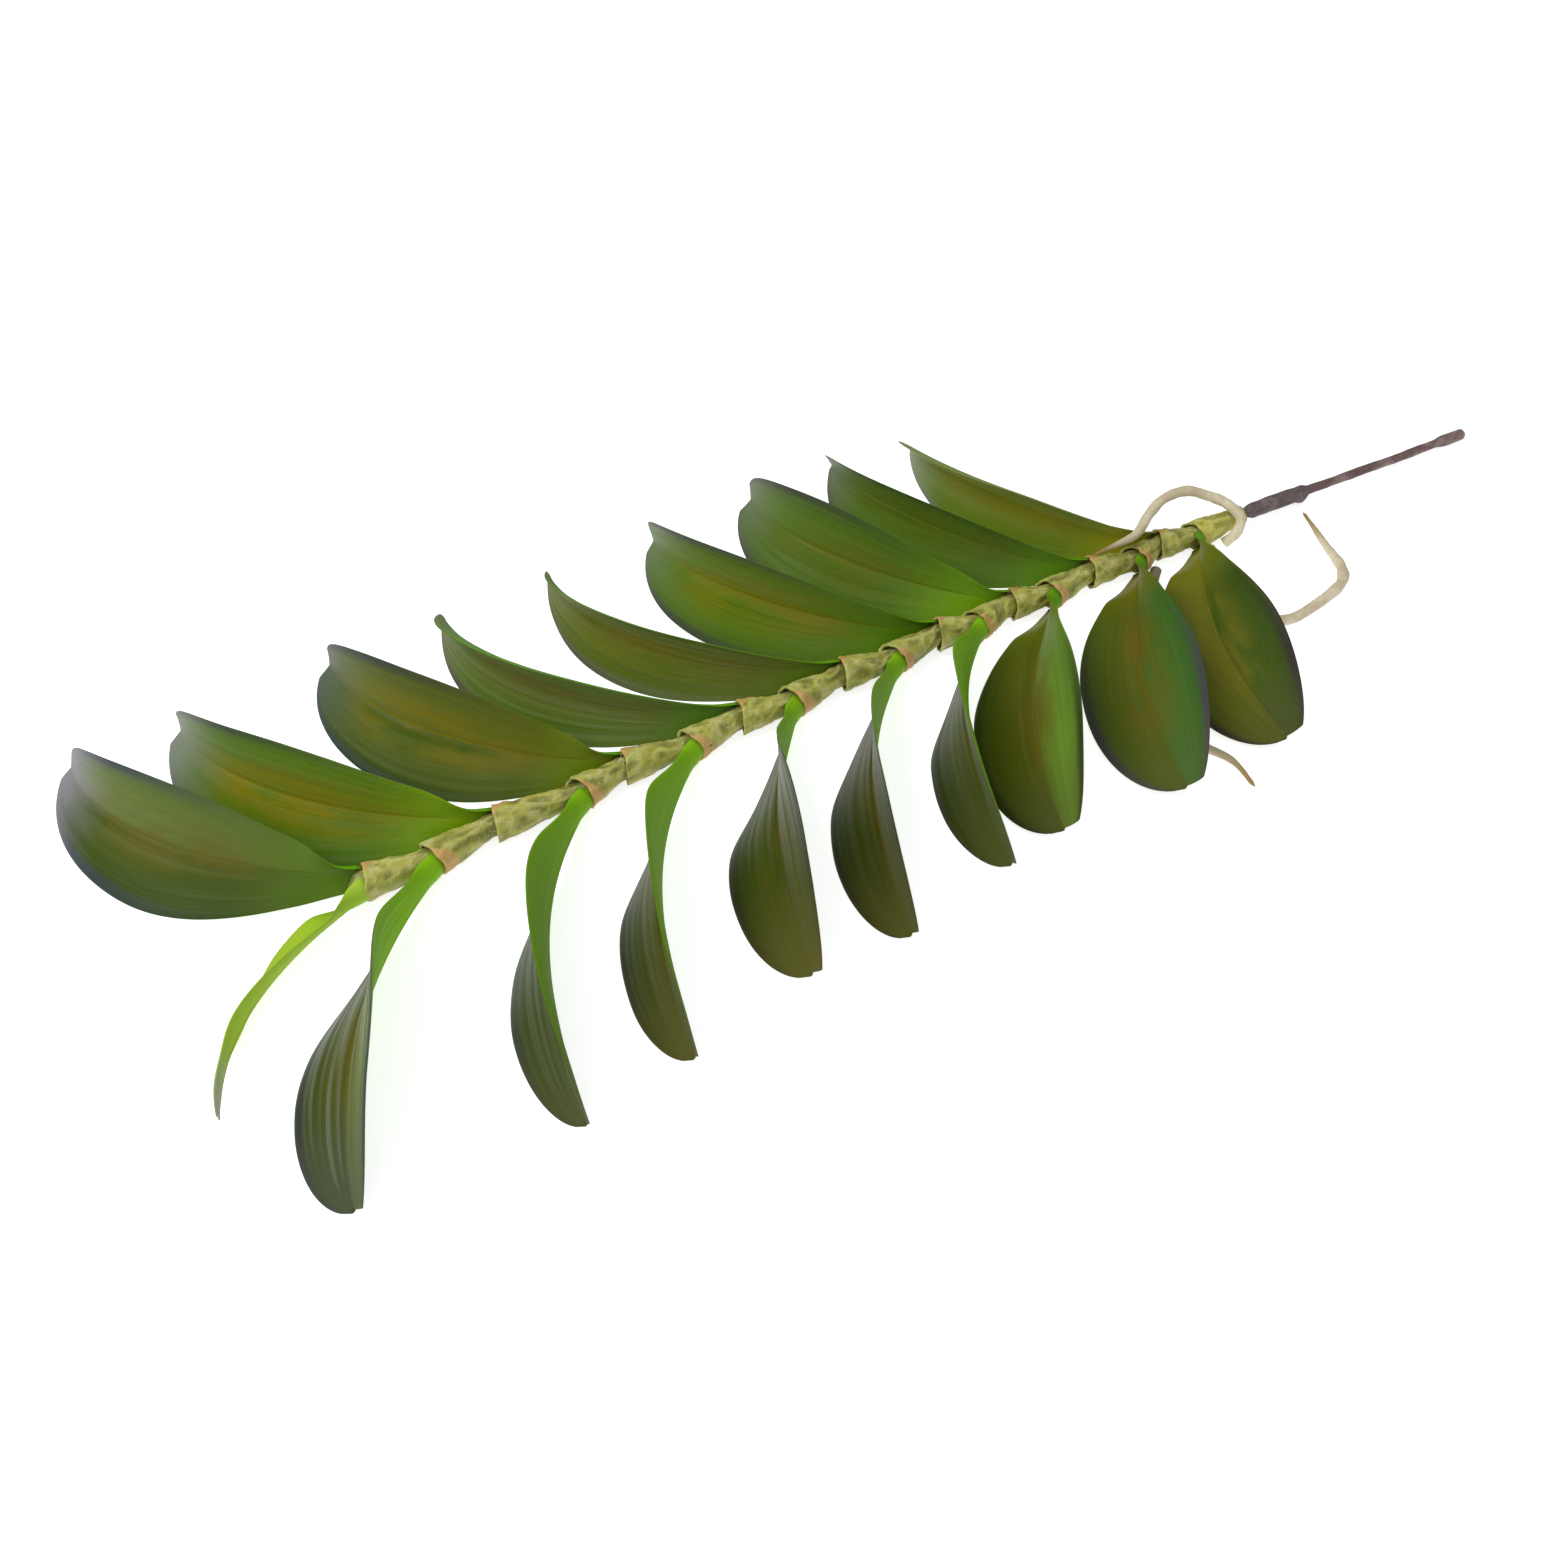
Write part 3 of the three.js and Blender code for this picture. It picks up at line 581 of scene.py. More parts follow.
# %% Rule for a blade's surface
class Blade:
    """One leaf's curved surface, in the stem's own coordinates."""

    def __init__(self, number):
        self.side = leaf_side(number)
        reach, sweep, curl, *turns_and_folds = LEAF_SHAPES[number]
        self.turn = [math.radians(angle) for angle in turns_and_folds[:2]]
        self.fold = [math.radians(angle) for angle in turns_and_folds[2:]]
        self.half = BLADE_WIDTH / 2 * SLIMNESS.get(number, 1.0)
        self.swell = SWELL_POWERS.get(number, SWELL_POWER)
        self.end = (ROUND_POWERS.get(number, ROUND_POWER), TIP_HALVES.get(number, TIP_HALF), END_FULLNESS)
        self.waists = RIBBON_WAISTS if number == 0 else []
        length = reach * LEAF_LENGTH
        set_back = -MOUTH_SLANT if number == 0 else MOUTH_SLANT * math.cos(BASE_WRAP)
        base = node_point(max(0, number - 1))
        base += Vector((set_back - CLEARANCE - BLADE_THICKNESS / 2, self.side * BLADE_BASE_RADIUS, 0))
        tip = base + self.heading(sweep) * length
        tip.z = BACK_TIP_HEIGHT if self.side > 0 else FRONT_TIP_HEIGHT
        first = base + self.heading(sweep - EARLY_CURL * curl) * (FIRST_ARM * length)
        second = tip - self.heading(sweep + (1 - EARLY_CURL) * curl) * (LAST_ARM * length)
        self.spine = [base, first, second, tip]
        self.settle()

    def heading(self, degrees):
        """A direction in plan, at an angle from the stem's own tip direction."""
        angle = math.radians(degrees)
        return Vector((-math.cos(angle), self.side * math.sin(angle), 0))

    def settle(self, halvings=20, steps=16, lanes=6):
        """Lifts the arch until the blade's lowest point lies on the table, by halving a range."""
        low, high = -LEAF_LENGTH, LEAF_LENGTH
        for _ in range(halvings):
            arch = (low + high) / 2
            self.spine[1].z = mix(self.spine[0].z, arch, FIRST_LIFT)
            self.spine[2].z = mix(self.spine[3].z, arch, LAST_LIFT)
            lowest = min(
                self.point(mix(WRAP_ENDS, 1, i / steps), mix(-1, 1, j / lanes), face).z
                for i in range(steps + 1) for j in range(lanes + 1) for face in (-1, 1))
            if lowest < REST_GAP:
                low = arch
            else:
                high = arch

    def half_width(self, t, across):
        """The blade's width at t, from its midrib to one margin."""
        half = self.half
        for at, reach, depth in self.waists:
            half *= 1 - depth * math.exp(-(((t - at) / reach) ** 2))
        if t < WIDEST_AT:
            base_share = BLADE_BASE_RADIUS * BASE_WRAP / self.half
            return half * mix(base_share, 1, math.sin(t / WIDEST_AT * math.pi / 2) ** self.swell)
        past = (t - WIDEST_AT) / (1 - WIDEST_AT)
        round_power, tip_half, fullness = LOW_END if self.side < 0 and across < 0 else self.end
        return half * (1 - (1 - tip_half ** (1 / round_power)) * past**fullness) ** round_power

    def point(self, t, across, face, lift=0.0, thickness=BLADE_THICKNESS):
        """A point of the blade. lift moves it along the section's own normal."""
        share = abs(across)
        lobe = (1 - share) ** 2 * TIP_NOTCH * ease(*NOTCH_DEEPENS, t)
        centre, along = cubic(self.spine, min(1.0, max(0.0, t - lobe)))
        apexward = (UP.cross(along) * self.side).normalized()
        upward = along.cross(apexward) * self.side
        turned = mix(self.turn[0] * ease(*TURN_STARTS, t), self.turn[1], ease(*TURN_CHANGES, t))
        normal = apexward * math.cos(turned) + upward * math.sin(turned)
        width = upward * math.cos(turned) - apexward * math.sin(turned)
        wrapped = 1 - ease(0, WRAP_ENDS, t)
        folded = mix(self.fold[0], self.fold[1], ease(*FOLD_CHANGES, t))
        keel = mix(KEEL_SHARE * folded, 0, wrapped)
        hollow = mix(HOLLOW_SHARE * folded, BASE_WRAP, wrapped)
        half = self.half_width(t, across)
        out = half * (math.sin(keel + hollow * share) - math.sin(keel)) / hollow
        rise = half * (math.cos(keel) - math.cos(keel + hollow * share)) / hollow
        wall = thickness * (1 - MARGIN_THINNING * share**2)
        sign = 1 if across >= 0 else -1
        return centre + width * (sign * out) + normal * (rise + lift + face * wall / 2)


blades = [Blade(number) for number in range(LEAF_COUNT)]
print("arches in mm:", [round(1000 * blade.spine[2].z) for blade in blades])

# %% [markdown]
# ## Relief on the blade
# Four things break the smooth sheet up: a groove along the midrib, with a keel under it; pleats,
# the long soft ridges between the veins; a margin that waves a little; and edges that thin out to a
# rounded rim. They are real relief, because a bump in the material can't change the outline.

# %% How far relief moves a point
PLEAT_DEPTH = 0.26  # mm
PLEAT_DEPTHS = {0: 0.15, 2: 0.7, 7: 0.45, 9: 0.45}
PLEATS_ACROSS = 9.0
PLEATS_ALONG = 0.8
RIB_HALF_WIDTH = 0.035
GROOVE_DEPTH = 0.5 * MM
KEEL_HEIGHT = 0.35 * MM
WAVE_HEIGHT = 1.1 * MM
WAVES_ALONG = 4.2
RELIEF_SEED_STEP = 3.7


def relief(number, t, across, face):
    """How far pleats, midrib and wavy margin lift a point off the blade, and the pleats' own share."""
    share = abs(across)
    sign = 1 if across >= 0 else -1
    seed = RELIEF_SEED_STEP * number
    clear_of_ends = ease(0.05, 0.3, t) * (1 - ease(0.88, 1.0, t))
    pleats = noise.noise(Vector((share * PLEATS_ACROSS + seed, sign * 4.0, t * PLEATS_ALONG))) * clear_of_ends
    pleats *= PLEAT_DEPTHS.get(number, PLEAT_DEPTH) * MM * ease(0.03, 0.15, share)
    rib = math.exp(-((across / RIB_HALF_WIDTH) ** 2)) * (1 - ease(0.75, 0.98, t)) * ease(0.03, 0.2, t)
    rib *= -GROOVE_DEPTH if face > 0 else -KEEL_HEIGHT
    wave = noise.noise(Vector((t * WAVES_ALONG + seed, sign * 7.0 + seed, 0.0))) * share**3 * WAVE_HEIGHT
    return pleats + rib + wave * ease(0.15, 0.4, t), pleats / MM


# %% [markdown]
# ## The sheet of a leaf
# The sheet is a fine grid, made solid while it is still flat, so the rim is closed before anything
# bends. Its cross-sections stand closer towards the tip, where the outline is round. A grown blade
# joins its sheath without a gap, so each base is tucked a little into the mouth that holds it.

# %% Sheet of a leaf, bent to its place
SHEET_STEPS = 84
SHEET_LANES = 64
STEP_SHORTENING = 0.5  # how much closer the cross-sections stand at the tip than at the base
RIM_POWER = 14
LEAST_RIM = 0.25
TIP_THINNING = 0.5
RIDGE_CONTRAST = 3.0
TABLE_GAP = 0.37 * MM
TUCK_DEPTH = 3 * MM
TUCK_INWARDS = 0.5 * MM
TUCKED_PART = 0.05


def leaf_sheet(number):
    """A closed sheet of leaf, carried point by point to its place on the blade."""
    blade = blades[number]
    shape = bmesh.new()
    bmesh.ops.create_grid(shape, x_segments=SHEET_STEPS, y_segments=SHEET_LANES, size=0.5)
    bmesh.ops.solidify(shape, geom=shape.faces[:], thickness=1.0)
    uv = shape.loops.layers.uv.new("blade")
    for face in shape.faces:
        for corner in face.loops:
            place = corner.vert.co
            corner[uv].uv = (place.y + 0.5, place.x + 0.5)
    numbers = {name: shape.verts.layers.float.new(name) for name in ("along", "across", "face", "ridge")}
    middle = sum(vert.co.z for vert in shape.verts) / len(shape.verts)
    for vert in shape.verts:
        step = vert.co.x + 0.5
        t = step * (1 + STEP_SHORTENING * (1 - step))
        across = 2 * vert.co.y
        face = 1 if vert.co.z > middle else -1
        rim = max(LEAST_RIM, (1 - abs(across) ** RIM_POWER) ** 0.5)
        lift, ridge = relief(number, t, across, face)
        for name, value in zip(numbers, (t, across, face, ridge * RIDGE_CONTRAST)):
            vert[numbers[name]] = value
        thickness = BLADE_THICKNESS * rim * (1 - TIP_THINNING * ease(0.9, 1, t))
        place = blade.point(t, across, face, lift, thickness)
        tucked = 1 - ease(0.0, TUCKED_PART, t)
        place.x += TUCK_DEPTH * tucked
        place.y -= blade.side * TUCK_INWARDS * tucked
        place.z = max(place.z, TABLE_GAP)
        vert.co = place
    bmesh.ops.recalc_face_normals(shape, faces=shape.faces)
    return shape


# %% Make the leaves
for number in range(LEAF_COUNT):
    shape = leaf_sheet(number)
    node = f"leaf_blade_{number:02d}"
    print(node, "open edges", open_edges(shape))
    piece = finish_piece(f"leaf_{number:02d}", shape, leaf_finish(number), node)
    tip_gap = min(vert.co.x for vert in piece.data.vertices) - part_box(node)[0].x
    print(piece.name, "is off the node's box by", round(tip_gap / MM, 2), "mm at the tip")

# %% [markdown]
# ## Rolled tubes
# Sheaths, roots and the woody stem are all tubes with a changing section. A plain cylinder has too
# few rings, and a curve object can't be dented. So a flat grid is rolled up instead: its long way
# runs along the tube and its short way goes once round, and the two edges that meet are merged.

# %% Rolling a grid into a tube
SEAM_GAP = 0.01 * MM


def rolled_tube(steps, sides, place, names):
    """A closed tube. place(along, angle) gives a point and its numbers for the finish, one for each name."""
    shape = bmesh.new()
    bmesh.ops.create_grid(shape, x_segments=steps, y_segments=sides, size=0.5)
    uv = shape.loops.layers.uv.new("tube")
    for face in shape.faces:
        for corner in face.loops:
            corner[uv].uv = (corner.vert.co.y + 0.5, corner.vert.co.x + 0.5)
    layers = [shape.verts.layers.float.new(name) for name in names]
    for vert in shape.verts:
        point, numbers = place(vert.co.x + 0.5, 2 * math.pi * vert.co.y)
        vert.co = point
        for layer, number in zip(layers, numbers):
            vert[layer] = number
    bmesh.ops.remove_doubles(shape, verts=shape.verts, dist=SEAM_GAP)
    open_rims = [edge for edge in shape.edges if edge.is_boundary]
    if open_rims:
        bmesh.ops.holes_fill(shape, edges=open_rims, sides=0)
    bmesh.ops.recalc_face_normals(shape, faces=shape.faces)
    return shape


# %% [markdown]
# ## Sheaths
# Each internode is wrapped in the dry foot of its leaf: a papery tube that widens to a mouth. It has
# shrunk on the stem, so it is creased like crumpled paper, khaki where it is thick and tan where it
# has dried at the rim. A painted highlight lies along the creases' ridges, and painted shade lies in
# their hollows, on the sheath's underside and at its neck. The creases are relief, and the same
# numbers that dent the mesh tell the material where they are, so colour and shape agree.

# %% The sheath's finish
def sheath_finish(name, body, pale_and_highlight, painted_shade, rim):
    finish, tree, shader = new_finish(name, 0.6)
    crease = attribute(tree, "crease")
    where = add_node(tree, "ShaderNodeTexCoord").outputs["Object"]
    patches = surface_noise(tree, where, 210.0, 4.0, 0.65)
    fine = surface_noise(tree, where, 900.0, 3.0, 0.6)
    colour = layered(tree, body, pale_and_highlight, stepped(tree, patches, 0.4, 0.75), 0.6)
    # Painted shade: darker on the sheath's underside and towards its neck.
    colour = layered(tree, colour, painted_shade, attribute(tree, "low"), 0.75)
    # Painted shade in the creases' hollows.
    colour = layered(tree, colour, painted_shade, fades(tree, crease, -0.5, 0.1), 0.6)
    # Painted highlight along the creases' ridges.
    colour = layered(tree, colour, pale_and_highlight, stepped(tree, crease, 0.2, 0.5), 0.7)
    line = crackle(tree, where, patches)
    colour = layered(tree, colour, pale_and_highlight, line, 0.5)
    past_neck = plus(tree, attribute(tree, "along"), times(tree, patches, 0.25))
    colour = blend_colours(tree, stepped(tree, past_neck, 0.93, 1.0), colour, rim)
    colour = shaded(tree, colour, (0.55, 0.55, 0.5), fine, 0.35)
    height = plus(tree, times(tree, fine, 0.4), times(tree, patches, 0.6))
    height = plus(tree, height, times(tree, line, 0.4))
    plug(tree, shader.inputs["Base Color"], colour)
    give_relief(tree, shader, height, 0.5, 0.8 * MM)
    return finish


def crackle(tree, where, patches):
    """Thin crooked lines, where the patches allow them."""
    crooked = add_node(tree, "ShaderNodeTexNoise", Vector=where, Scale=170.0).outputs["Color"]
    warped = blend_colours(tree, 0.02, where, crooked)
    cells = add_node(tree, "ShaderNodeTexVoronoi", Scale=240.0, Vector=warped)
    cells.feature = "DISTANCE_TO_EDGE"
    line = fades(tree, cells.outputs["Distance"], 0.0, 0.09)
    return times(tree, line, stepped(tree, patches, 0.45, 0.6))


# The fourth colour of each finish is painted shade; the second serves pale patches, cracks and painted
# highlights.
SHEATH_FINISHES = {
    "old": sheath_finish("sheath_khaki", "a8a846", "cecb8c", "585a1a", "c09c5a"),
    "fresh": sheath_finish("sheath_fresh", "b8b64a", "deda90", "7c7e28", "b4a44c"),
}
print("sheath finishes:", list(SHEATH_FINISHES))

# %% [markdown]
# ## The sheath's shape
# The wall's section is drawn once, outside and inside, and goes round the stem. Each neck sits in the
# next older mouth, which hides it. The youngest sheath has no younger one in its mouth, so its section
# ends in a small closed bud instead of a hollow.

# %% Section of a sheath's wall
SHEATH_SIDES = 56
BORE_RADIUS = 3.9 * MM
SHEATH_WALL = 0.7 * MM
RIM_FLARE = 0.4 * MM
CUP_DEPTH = 6 * MM
CUP_FLOOR = 1.5 * MM
CUP_TAPER = 0.2 * MM
SHEATH_OVERLAP = 4 * MM
BUD_LENGTH = 7 * MM


def sheath_profile(length, budded):
    """[steps to the next point, radius, distance from the neck] once round the wall's section."""
    outside = [
        (2, BORE_RADIUS, 0.0),
        (10, NECK_RADIUS, 0.0),
        (10, 4.7 * MM, 0.32 * length),
        (10, 6.4 * MM, 0.66 * length),
        (3, MOUTH_RADIUS + RIM_FLARE, length),
    ]
    floor = length - CUP_DEPTH - CUP_FLOOR
    if budded:
        waist, end = length + 0.5 * BUD_LENGTH, length + BUD_LENGTH
        bud = [(6, 5.9 * MM, length), (6, 4.6 * MM, waist), (0, 0.0, end)]
        return [(4, 0.0, floor), (8, BORE_RADIUS, floor)] + outside + bud
    return outside + [
        (6, MOUTH_RADIUS - SHEATH_WALL, length),
        (3, MOUTH_RADIUS - SHEATH_WALL - CUP_TAPER, length - CUP_DEPTH),
        (6, BORE_RADIUS, floor),
        (0, BORE_RADIUS, 0.0),
    ]


def along_profile(profile, step):
    """The section's radius and distance at a step, and which stretch they lie on."""
    for index, (count, radius, distance) in enumerate(profile[:-1]):
        if step <= count or index == len(profile) - 2:
            _, next_radius, next_distance = profile[index + 1]
            share = step / count
            return mix(radius, next_radius, share), mix(distance, next_distance, share), index
        step -= count


# %% Creases and a sheath's shape
CREASE_DEPTH = 0.95 * MM
CREASE_SPACING = 9 * MM
RIM_WANDER = 1.2 * MM
CREASE_SEED_STEP = 11.3
RIM_BAND_DROP = 0.3


def crumple(spot):
    """Creases like those of crumpled paper: sharp folds where the noise crosses nothing."""
    folds = 0.5 - 2.2 * abs(noise.noise(spot))
    small = 0.5 - 2.2 * abs(noise.noise(spot * 2.3 + Vector((5, 3, 1))))
    return folds * 0.7 + small * 0.35


def sheath_shape(number):
    """The sheath between two nodes, creased, with an uneven rim."""
    mouth = node_point(number - 1)
    neck = node_point(number)
    if number < SHEATH_COUNT:
        neck += (neck - mouth).normalized() * SHEATH_OVERLAP
    reach = mouth - neck
    length = reach.length
    turned = Vector((0, 1, 0)).rotation_difference(reach.normalized())
    budded = number == 1
    profile = sheath_profile(length, budded)
    first_outside = 3 if budded else 1
    steps = sum(row[0] for row in profile)
    seed = CREASE_SEED_STEP * number

    def place(share, angle):
        radius, distance, stretch = along_profile(profile, round(share * steps))
        outward = first_outside <= stretch <= first_outside + 3
        along = distance / length
        one, other = math.cos(angle), math.sin(angle)
        crease = crumple(Vector((one * 1.3 + seed, other * 1.3, distance / CREASE_SPACING)))
        if outward:
            radius += crease * CREASE_DEPTH * ease(0.0, 0.2, along)
        rim = noise.noise(Vector((one * 1.6 + seed, other * 1.6, 7.0)))
        distance += rim * RIM_WANDER * ease(0.75, 1, along)
        point = turned @ Vector((one * radius, distance, other * radius))
        leafward = leaf_side(number) * point.y / MOUTH_RADIUS
        point.x += MOUTH_SLANT * leafward * ease(0.5, 1, along)
        point += neck
        point.z = max(point.z, TABLE_GAP)
        if not outward:
            return point, (RIM_BAND_DROP, crease, 1.0)
        band = along - RIM_BAND_DROP * (1 - max(0.0, leafward))
        # Painted shade: the underside and the part near the neck are marked for darkening.
        low = max(ease(0.1, 0.9, -other), 1 - ease(0.1, 0.4, along))
        return point, (band, crease, low)

    return rolled_tube(steps, SHEATH_SIDES, place, ("along", "crease", "low"))


# %% Make the sheaths
for number in range(1, LEAF_COUNT):
    shape = sheath_shape(number)
    print("sheath", number, "open edges", open_edges(shape))
    finish = SHEATH_FINISHES["fresh" if number == SHEATH_COUNT else "old"]
    finish_piece(f"sheath_{number:02d}", shape, finish, f"leaf_sheath_{number:02d}")

# %% [markdown]
# ## A route through points
# Roots and the woody stem follow a smooth route through chosen points. The frame's routes are
# centripetal curves, which don't overshoot at a sharp bend, so the same kind is worked out here, with
# a frame that is carried along it without twisting.

# %% Smooth route and its frames
TINY = 1e-6
SPOTS_PER_STEP = 8


def route_point(points, share):
    """A point of the centripetal curve through the points."""
    last = len(points) - 1
    at = last * share
    index = min(int(at), last - 1)
    rest = at - index
    b, c = points[index], points[index + 1]
    a = points[index - 1] if index > 0 else b * 2 - c
    d = points[index + 2] if index + 2 <= last else c * 2 - b
    gaps = [max((q - p).length, TINY) ** 0.5 for p, q in ((a, b), (b, c), (c, d))]
    first = ((b - a) / gaps[0] - (c - a) / (gaps[0] + gaps[1]) + (c - b) / gaps[1]) * gaps[1]
    second = ((c - b) / gaps[1] - (d - b) / (gaps[1] + gaps[2]) + (d - c) / gaps[2]) * gaps[1]
    return (b * (2 * rest**3 - 3 * rest**2 + 1) + c * (3 * rest**2 - 2 * rest**3)
            + first * (rest**3 - 2 * rest**2 + rest) + second * (rest**3 - rest**2))


def route_frames(points, steps):
    """Evenly spaced [centre, one side, other side] along the route, and the route's length."""
    count = steps * SPOTS_PER_STEP
    fine = [route_point(points, i / count) for i in range(count + 1)]
    run = [0.0]
    for before, after in zip(fine, fine[1:]):
        run.append(run[-1] + (after - before).length)
    spots, seek = [], 0
    for i in range(steps + 1):
        wanted = run[-1] * i / steps
        while seek < len(run) - 2 and run[seek + 1] < wanted:
            seek += 1
        share = (wanted - run[seek]) / max(run[seek + 1] - run[seek], 1e-9)
        spots.append(fine[seek].lerp(fine[seek + 1], min(1.0, share)))
    frames = []
    normal = None
    for i, spot in enumerate(spots):
        along = (spots[min(i + 1, steps)] - spots[max(i - 1, 0)]).normalized()
        if normal is None:
            normal = along.cross(UP).normalized()
        else:
            normal = (normal - along * normal.dot(along)).normalized()
        frames.append((spot, normal, along.cross(normal)))
    return frames, run[-1]


def routed_tube(points, steps, sides, radius_at, names, numbers_at):
    """A tube along a route. Its radius and numbers depend on the share of the length, angle and centre."""
    frames, length = route_frames(points, steps)

    def place(share, angle):
        centre, one, other = frames[round(share * steps)]
        radius = radius_at(share, angle, centre)
        point = centre + (one * math.cos(angle) + other * math.sin(angle)) * radius
        return point, numbers_at(share, angle, centre)

    return rolled_tube(steps, sides, place, names), length


# %% [markdown]
# ## Aerial roots
# An orchid's aerial root is a thin cord in a thick dead coat, pale and chalky, with tan stains where
# it was bent or rubbed and a darker growing tip. It is never quite round or even in thickness.

# %% The roots' finish
def root_finish():
    finish, tree, shader = new_finish("root_cream", 0.72)
    where = add_node(tree, "ShaderNodeTexCoord").outputs["Object"]
    patches = surface_noise(tree, where, 60.0, 4.0, 0.6)
    fine = surface_noise(tree, where, 700.0, 4.0, 0.65)
    colour = blend_colours(tree, stepped(tree, patches, 0.4, 0.62), "beb192", "d4c9b0")
    colour = layered(tree, colour, "b0925c", stepped(tree, patches, 0.56, 0.72), 0.7)
    colour = layered(tree, colour, "94834f", stepped(tree, fine, 0.5, 0.75), 0.35)
    near_tip = stepped(tree, attribute(tree, "along"), 0.8, 0.99)
    colour = blend_colours(tree, near_tip, colour, "8d7434")
    # Darker where the stub root starts, under the leaves.
    colour = blend_colours(tree, attribute(tree, "darker_start"), colour, "4c3a2a")
    plug(tree, shader.inputs["Base Color"], colour)
    give_relief(tree, shader, fine, 0.5, 0.5 * MM)
    return finish


# %% [markdown]
# ## The roots' routes
# Each root's route is a list of points, given one by one. They are offsets from things that can
# move: from the place under the stem where the root starts, or from the margin of a leaf it lies beside.

# %% The roots' routes
ROOT_RADIUS = 2.7 * MM
ROOT_TIP_RADIUS = 0.9 * MM
ROOT_TAPER = 0.3
LYING = ROOT_RADIUS + REST_GAP


def under_stem(x):
    """Where a root leaves the stem, beside its underside."""
    apart = MOUTH_RADIUS + CLEARANCE + ROOT_RADIUS
    point = stem_point(x)
    point.y -= math.sqrt(apart**2 - (point.z - LYING) ** 2)
    point.z = LYING
    return point


def from_stem(node, past, offsets):
    """Route points as offsets in mm from a root's start, with heights in sheath radii."""
    start = under_stem(STATIONS[node] + past * MM)
    found = []
    for dx, dy, *up in offsets:
        height = up[0] * MOUTH_RADIUS if up else 0
        found.append(start + Vector((dx * MM, dy * MM, height)))
    return found


def by_margin(number, margin, offsets):
    """Route points as offsets in mm from a blade's margin."""
    found = []
    for share, dx, dy, *dz in offsets:
        edge = blades[number].point(share, margin, 0)
        height = edge.z + dz[0] * MM if dz else LYING
        found.append(Vector((edge.x + dx * MM, edge.y + dy * MM, height)))
    return found


ROOT_ROUTES = {
    "root_arch": from_stem(18, -17, [(0, 0), (4, -2, 0.7), (9, 1, 1.4), (6, 8, 2.15), (-2, 16, 2.7),
                                     (-12, 20, 3.25), (-26, 21, 3.25)])
    + by_margin(17, 1, [(0.05, 5, 2.5, 7), (0.1, -1, -4.2, 1)])
    + from_stem(16, 0, [(-29, 11, 2.35), (-40, 11, 2.35)]),
    "root_hook": from_stem(17, 5, [(0, 0), (-6, -10), (-12, -24), (-17, -40), (-16, -52), (-7, -58), (8, -58),
                                   (33, -53), (41, -46), (48, -29), (54, -15), (58, -5)]),
    "root_stub": from_stem(15, 8, [(0, 0)])
    + by_margin(18, -1, [(0.2, -12, 0), (0.3, -11.5, 0), (0.4, -10.5, 0), (0.55, -12, 0), (0.68, -12, 0),
                         (0.78, -11, 0), (0.88, -12, 0), (1, -24, 6), (1, -27, -10)]),
}

# %% [markdown]
# A root's skin is lumpy and out of round. Noise at its own centre line swells and pinches it, and it
# narrows to a blunt tip. The root that comes out from under the leaves is darker where it starts.

# %% Make the roots
ROOT_RINGS = 150
ROOT_SIDES = 20
DARKER_START = 0.75


def root_cord(order, name, points):
    """One root's tube, and its length."""
    darker_start = DARKER_START if name == "root_stub" else 0.0

    def radius_at(share, angle, centre):
        taper = mix(ROOT_RADIUS, ROOT_TIP_RADIUS, ease(1 - ROOT_TAPER, 1, share))
        lumps = noise.noise(centre * 160 + Vector((order, 0, 0))) + 0.5 * noise.noise(centre * 420)
        return taper * (0.94 + 0.13 * lumps + 0.03 * math.cos(2 * angle)) * (1 - 0.7 * ease(0.985, 1, share))

    def numbers_at(share, angle, centre):
        return share, darker_start * (1 - ease(0.08, 0.2, share))

    return routed_tube(points, ROOT_RINGS, ROOT_SIDES, radius_at, ("along", "darker_start"), numbers_at)


root_paint = root_finish()
for order, (name, points) in enumerate(ROOT_ROUTES.items()):
    shape, length = root_cord(order, name, points)
    finish_piece(name + "_cord", shape, root_paint, name)
    print(name, "is", round(1000 * length), "mm long")

# %% [markdown]
# ## The woody stem
# Past the last sheath the stem is bare: first a stump of old bark, grey and lumpy, then a step down
# to a thin reddish part, and at the end a knob where it was cut. Bark is ridged along the stem, so
# its noise is stretched that way.

# %% The bark's finish
ALONG_THE_STEM = (0.16, 1.0, 1.0)


def bark_finish():
    finish, tree, shader = new_finish("bark_brown", 0.78)
    where = add_node(tree, "ShaderNodeTexCoord").outputs["Object"]
    stretched = add_node(tree, "ShaderNodeMapping", Vector=where, Scale=ALONG_THE_STEM)
    streaks = surface_noise(tree, stretched.outputs[0], 900.0, 4.0, 0.65)
    patches = surface_noise(tree, where, 70.0, 4.0, 0.6)
    specks = surface_noise(tree, where, 1500.0, 3.0, 0.6)
    colour = blend_colours(tree, attribute(tree, "thin"), "5e5252", "664e4a")
    colour = layered(tree, colour, "86746c", attribute(tree, "knob"), 0.7)
    colour = layered(tree, colour, "3f3030", stepped(tree, streaks, 0.42, 0.7), 0.75)
    colour = layered(tree, colour, "a08f8a", stepped(tree, patches, 0.5, 0.7), 0.5)
    colour = layered(tree, colour, "c0b0a8", stepped(tree, specks, 0.6, 0.75), 0.35)
    colour = blend_colours(tree, attribute(tree, "cut"), colour, "a58c6c")
    height = plus(tree, times(tree, streaks, 0.8), times(tree, specks, 0.2))
    plug(tree, shader.inputs["Base Color"], colour)
    give_relief(tree, shader, height, 0.7, 0.7 * MM)
    return finish


# %% [markdown]
# ## The woody stem's shape
# One rod runs through every sheath and on to the cut, as the real stem does. Only the bare part is
# seen, so only there do ridges, lumps and the scar of an old root at the stump's end dent it.

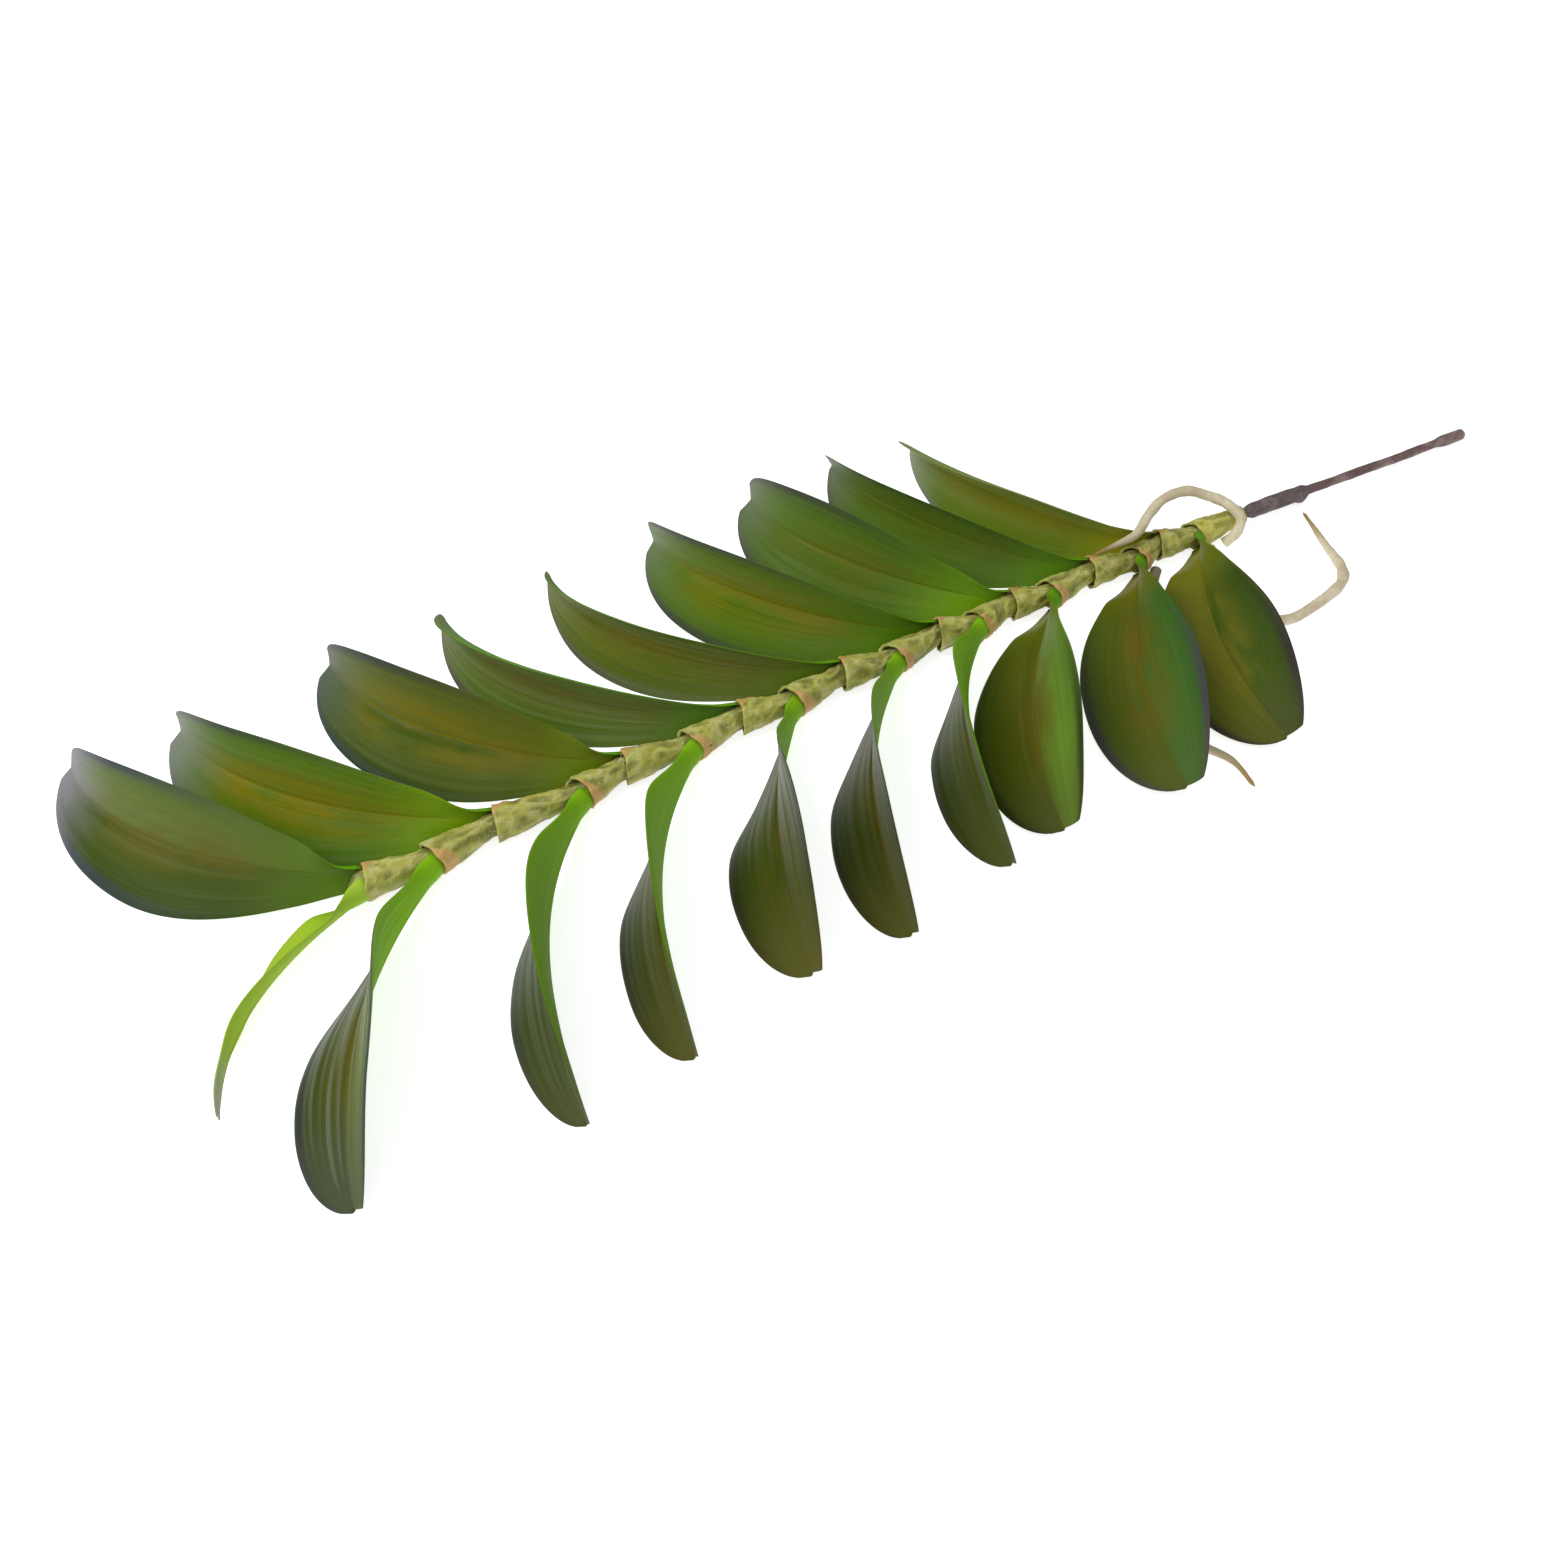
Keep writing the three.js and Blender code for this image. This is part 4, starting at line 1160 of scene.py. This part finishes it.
# %% The woody stem's shape
AXIS_RADIUS = 2.29 * MM
STUMP_RADIUS = 3.9 * MM
STUMP_LENGTH = 42 * MM
KNOB_LENGTH = 16 * MM
RADIUS_STEP = 5 * MM
SCAR_HEIGHT = 1.1 * MM
SCAR_SETBACK = 4 * MM
SCAR_REACH = 2.2 * MM
STUMP_END = FOLIAGE_END + STUMP_LENGTH
KNOB_START = STEM_LENGTH - KNOB_LENGTH


def bark_radius(share, angle, centre):
    """Thin inside the sheaths, thick just past them, thin again, and a knob at the cut."""
    x = centre.x
    one, other = math.cos(angle), math.sin(angle)

    def rise(at):
        return ease(at - RADIUS_STEP / 2, at + RADIUS_STEP / 2, x)

    stump = rise(FOLIAGE_END + RADIUS_STEP) - rise(STUMP_END)
    knob = rise(KNOB_START)
    radius = AXIS_RADIUS + stump * (STUMP_RADIUS - AXIS_RADIUS) + knob * (CUT_END_RADIUS - AXIS_RADIUS)
    bare = ease(FOLIAGE_END - INTERNODE / 3, FOLIAGE_END, x)
    ridges = noise.noise(Vector((x * 60, one * 1.8, other * 1.8)))
    lumps = noise.noise(Vector((x * 190, one, other + 5)))
    radius *= 1 + bare * (0.1 * ridges + 0.1 * lumps - 0.06)
    near_scar = math.exp(-((x - STUMP_END + SCAR_SETBACK) / SCAR_REACH) ** 2)
    return radius + near_scar * max(0.0, math.sin(angle + 0.6)) * SCAR_HEIGHT


def bark_numbers(share, angle, centre):
    """How thin, how near the knob and whether on the cut face."""
    thin = ease(STUMP_END - RADIUS_STEP, STUMP_END + RADIUS_STEP, centre.x)
    knob = ease(KNOB_START, STEM_LENGTH - KNOB_LENGTH / 2, centre.x)
    return thin, knob, 1.0 if share > 1 - TINY else 0.0


# %% Make the woody stem
AXIS_RINGS = 460
AXIS_SIDES = 24
BARE_STEPS = 4
AXIS_TIP_SETBACK = 4 * MM

axis_points = [node_point(i) for i in range(LEAF_COUNT)]
axis_points[0].x += AXIS_TIP_SETBACK
axis_points += [stem_point(mix(FOLIAGE_END, STEM_LENGTH, (i + 1) / BARE_STEPS)) for i in range(BARE_STEPS)]
bark_names = ("thin", "knob", "cut")
shape, length = routed_tube(axis_points, AXIS_RINGS, AXIS_SIDES, bark_radius, bark_names, bark_numbers)
finish_piece("woody_stem", shape, bark_finish(), "stem_axis")
print("the woody stem is", round(1000 * length), "mm long")
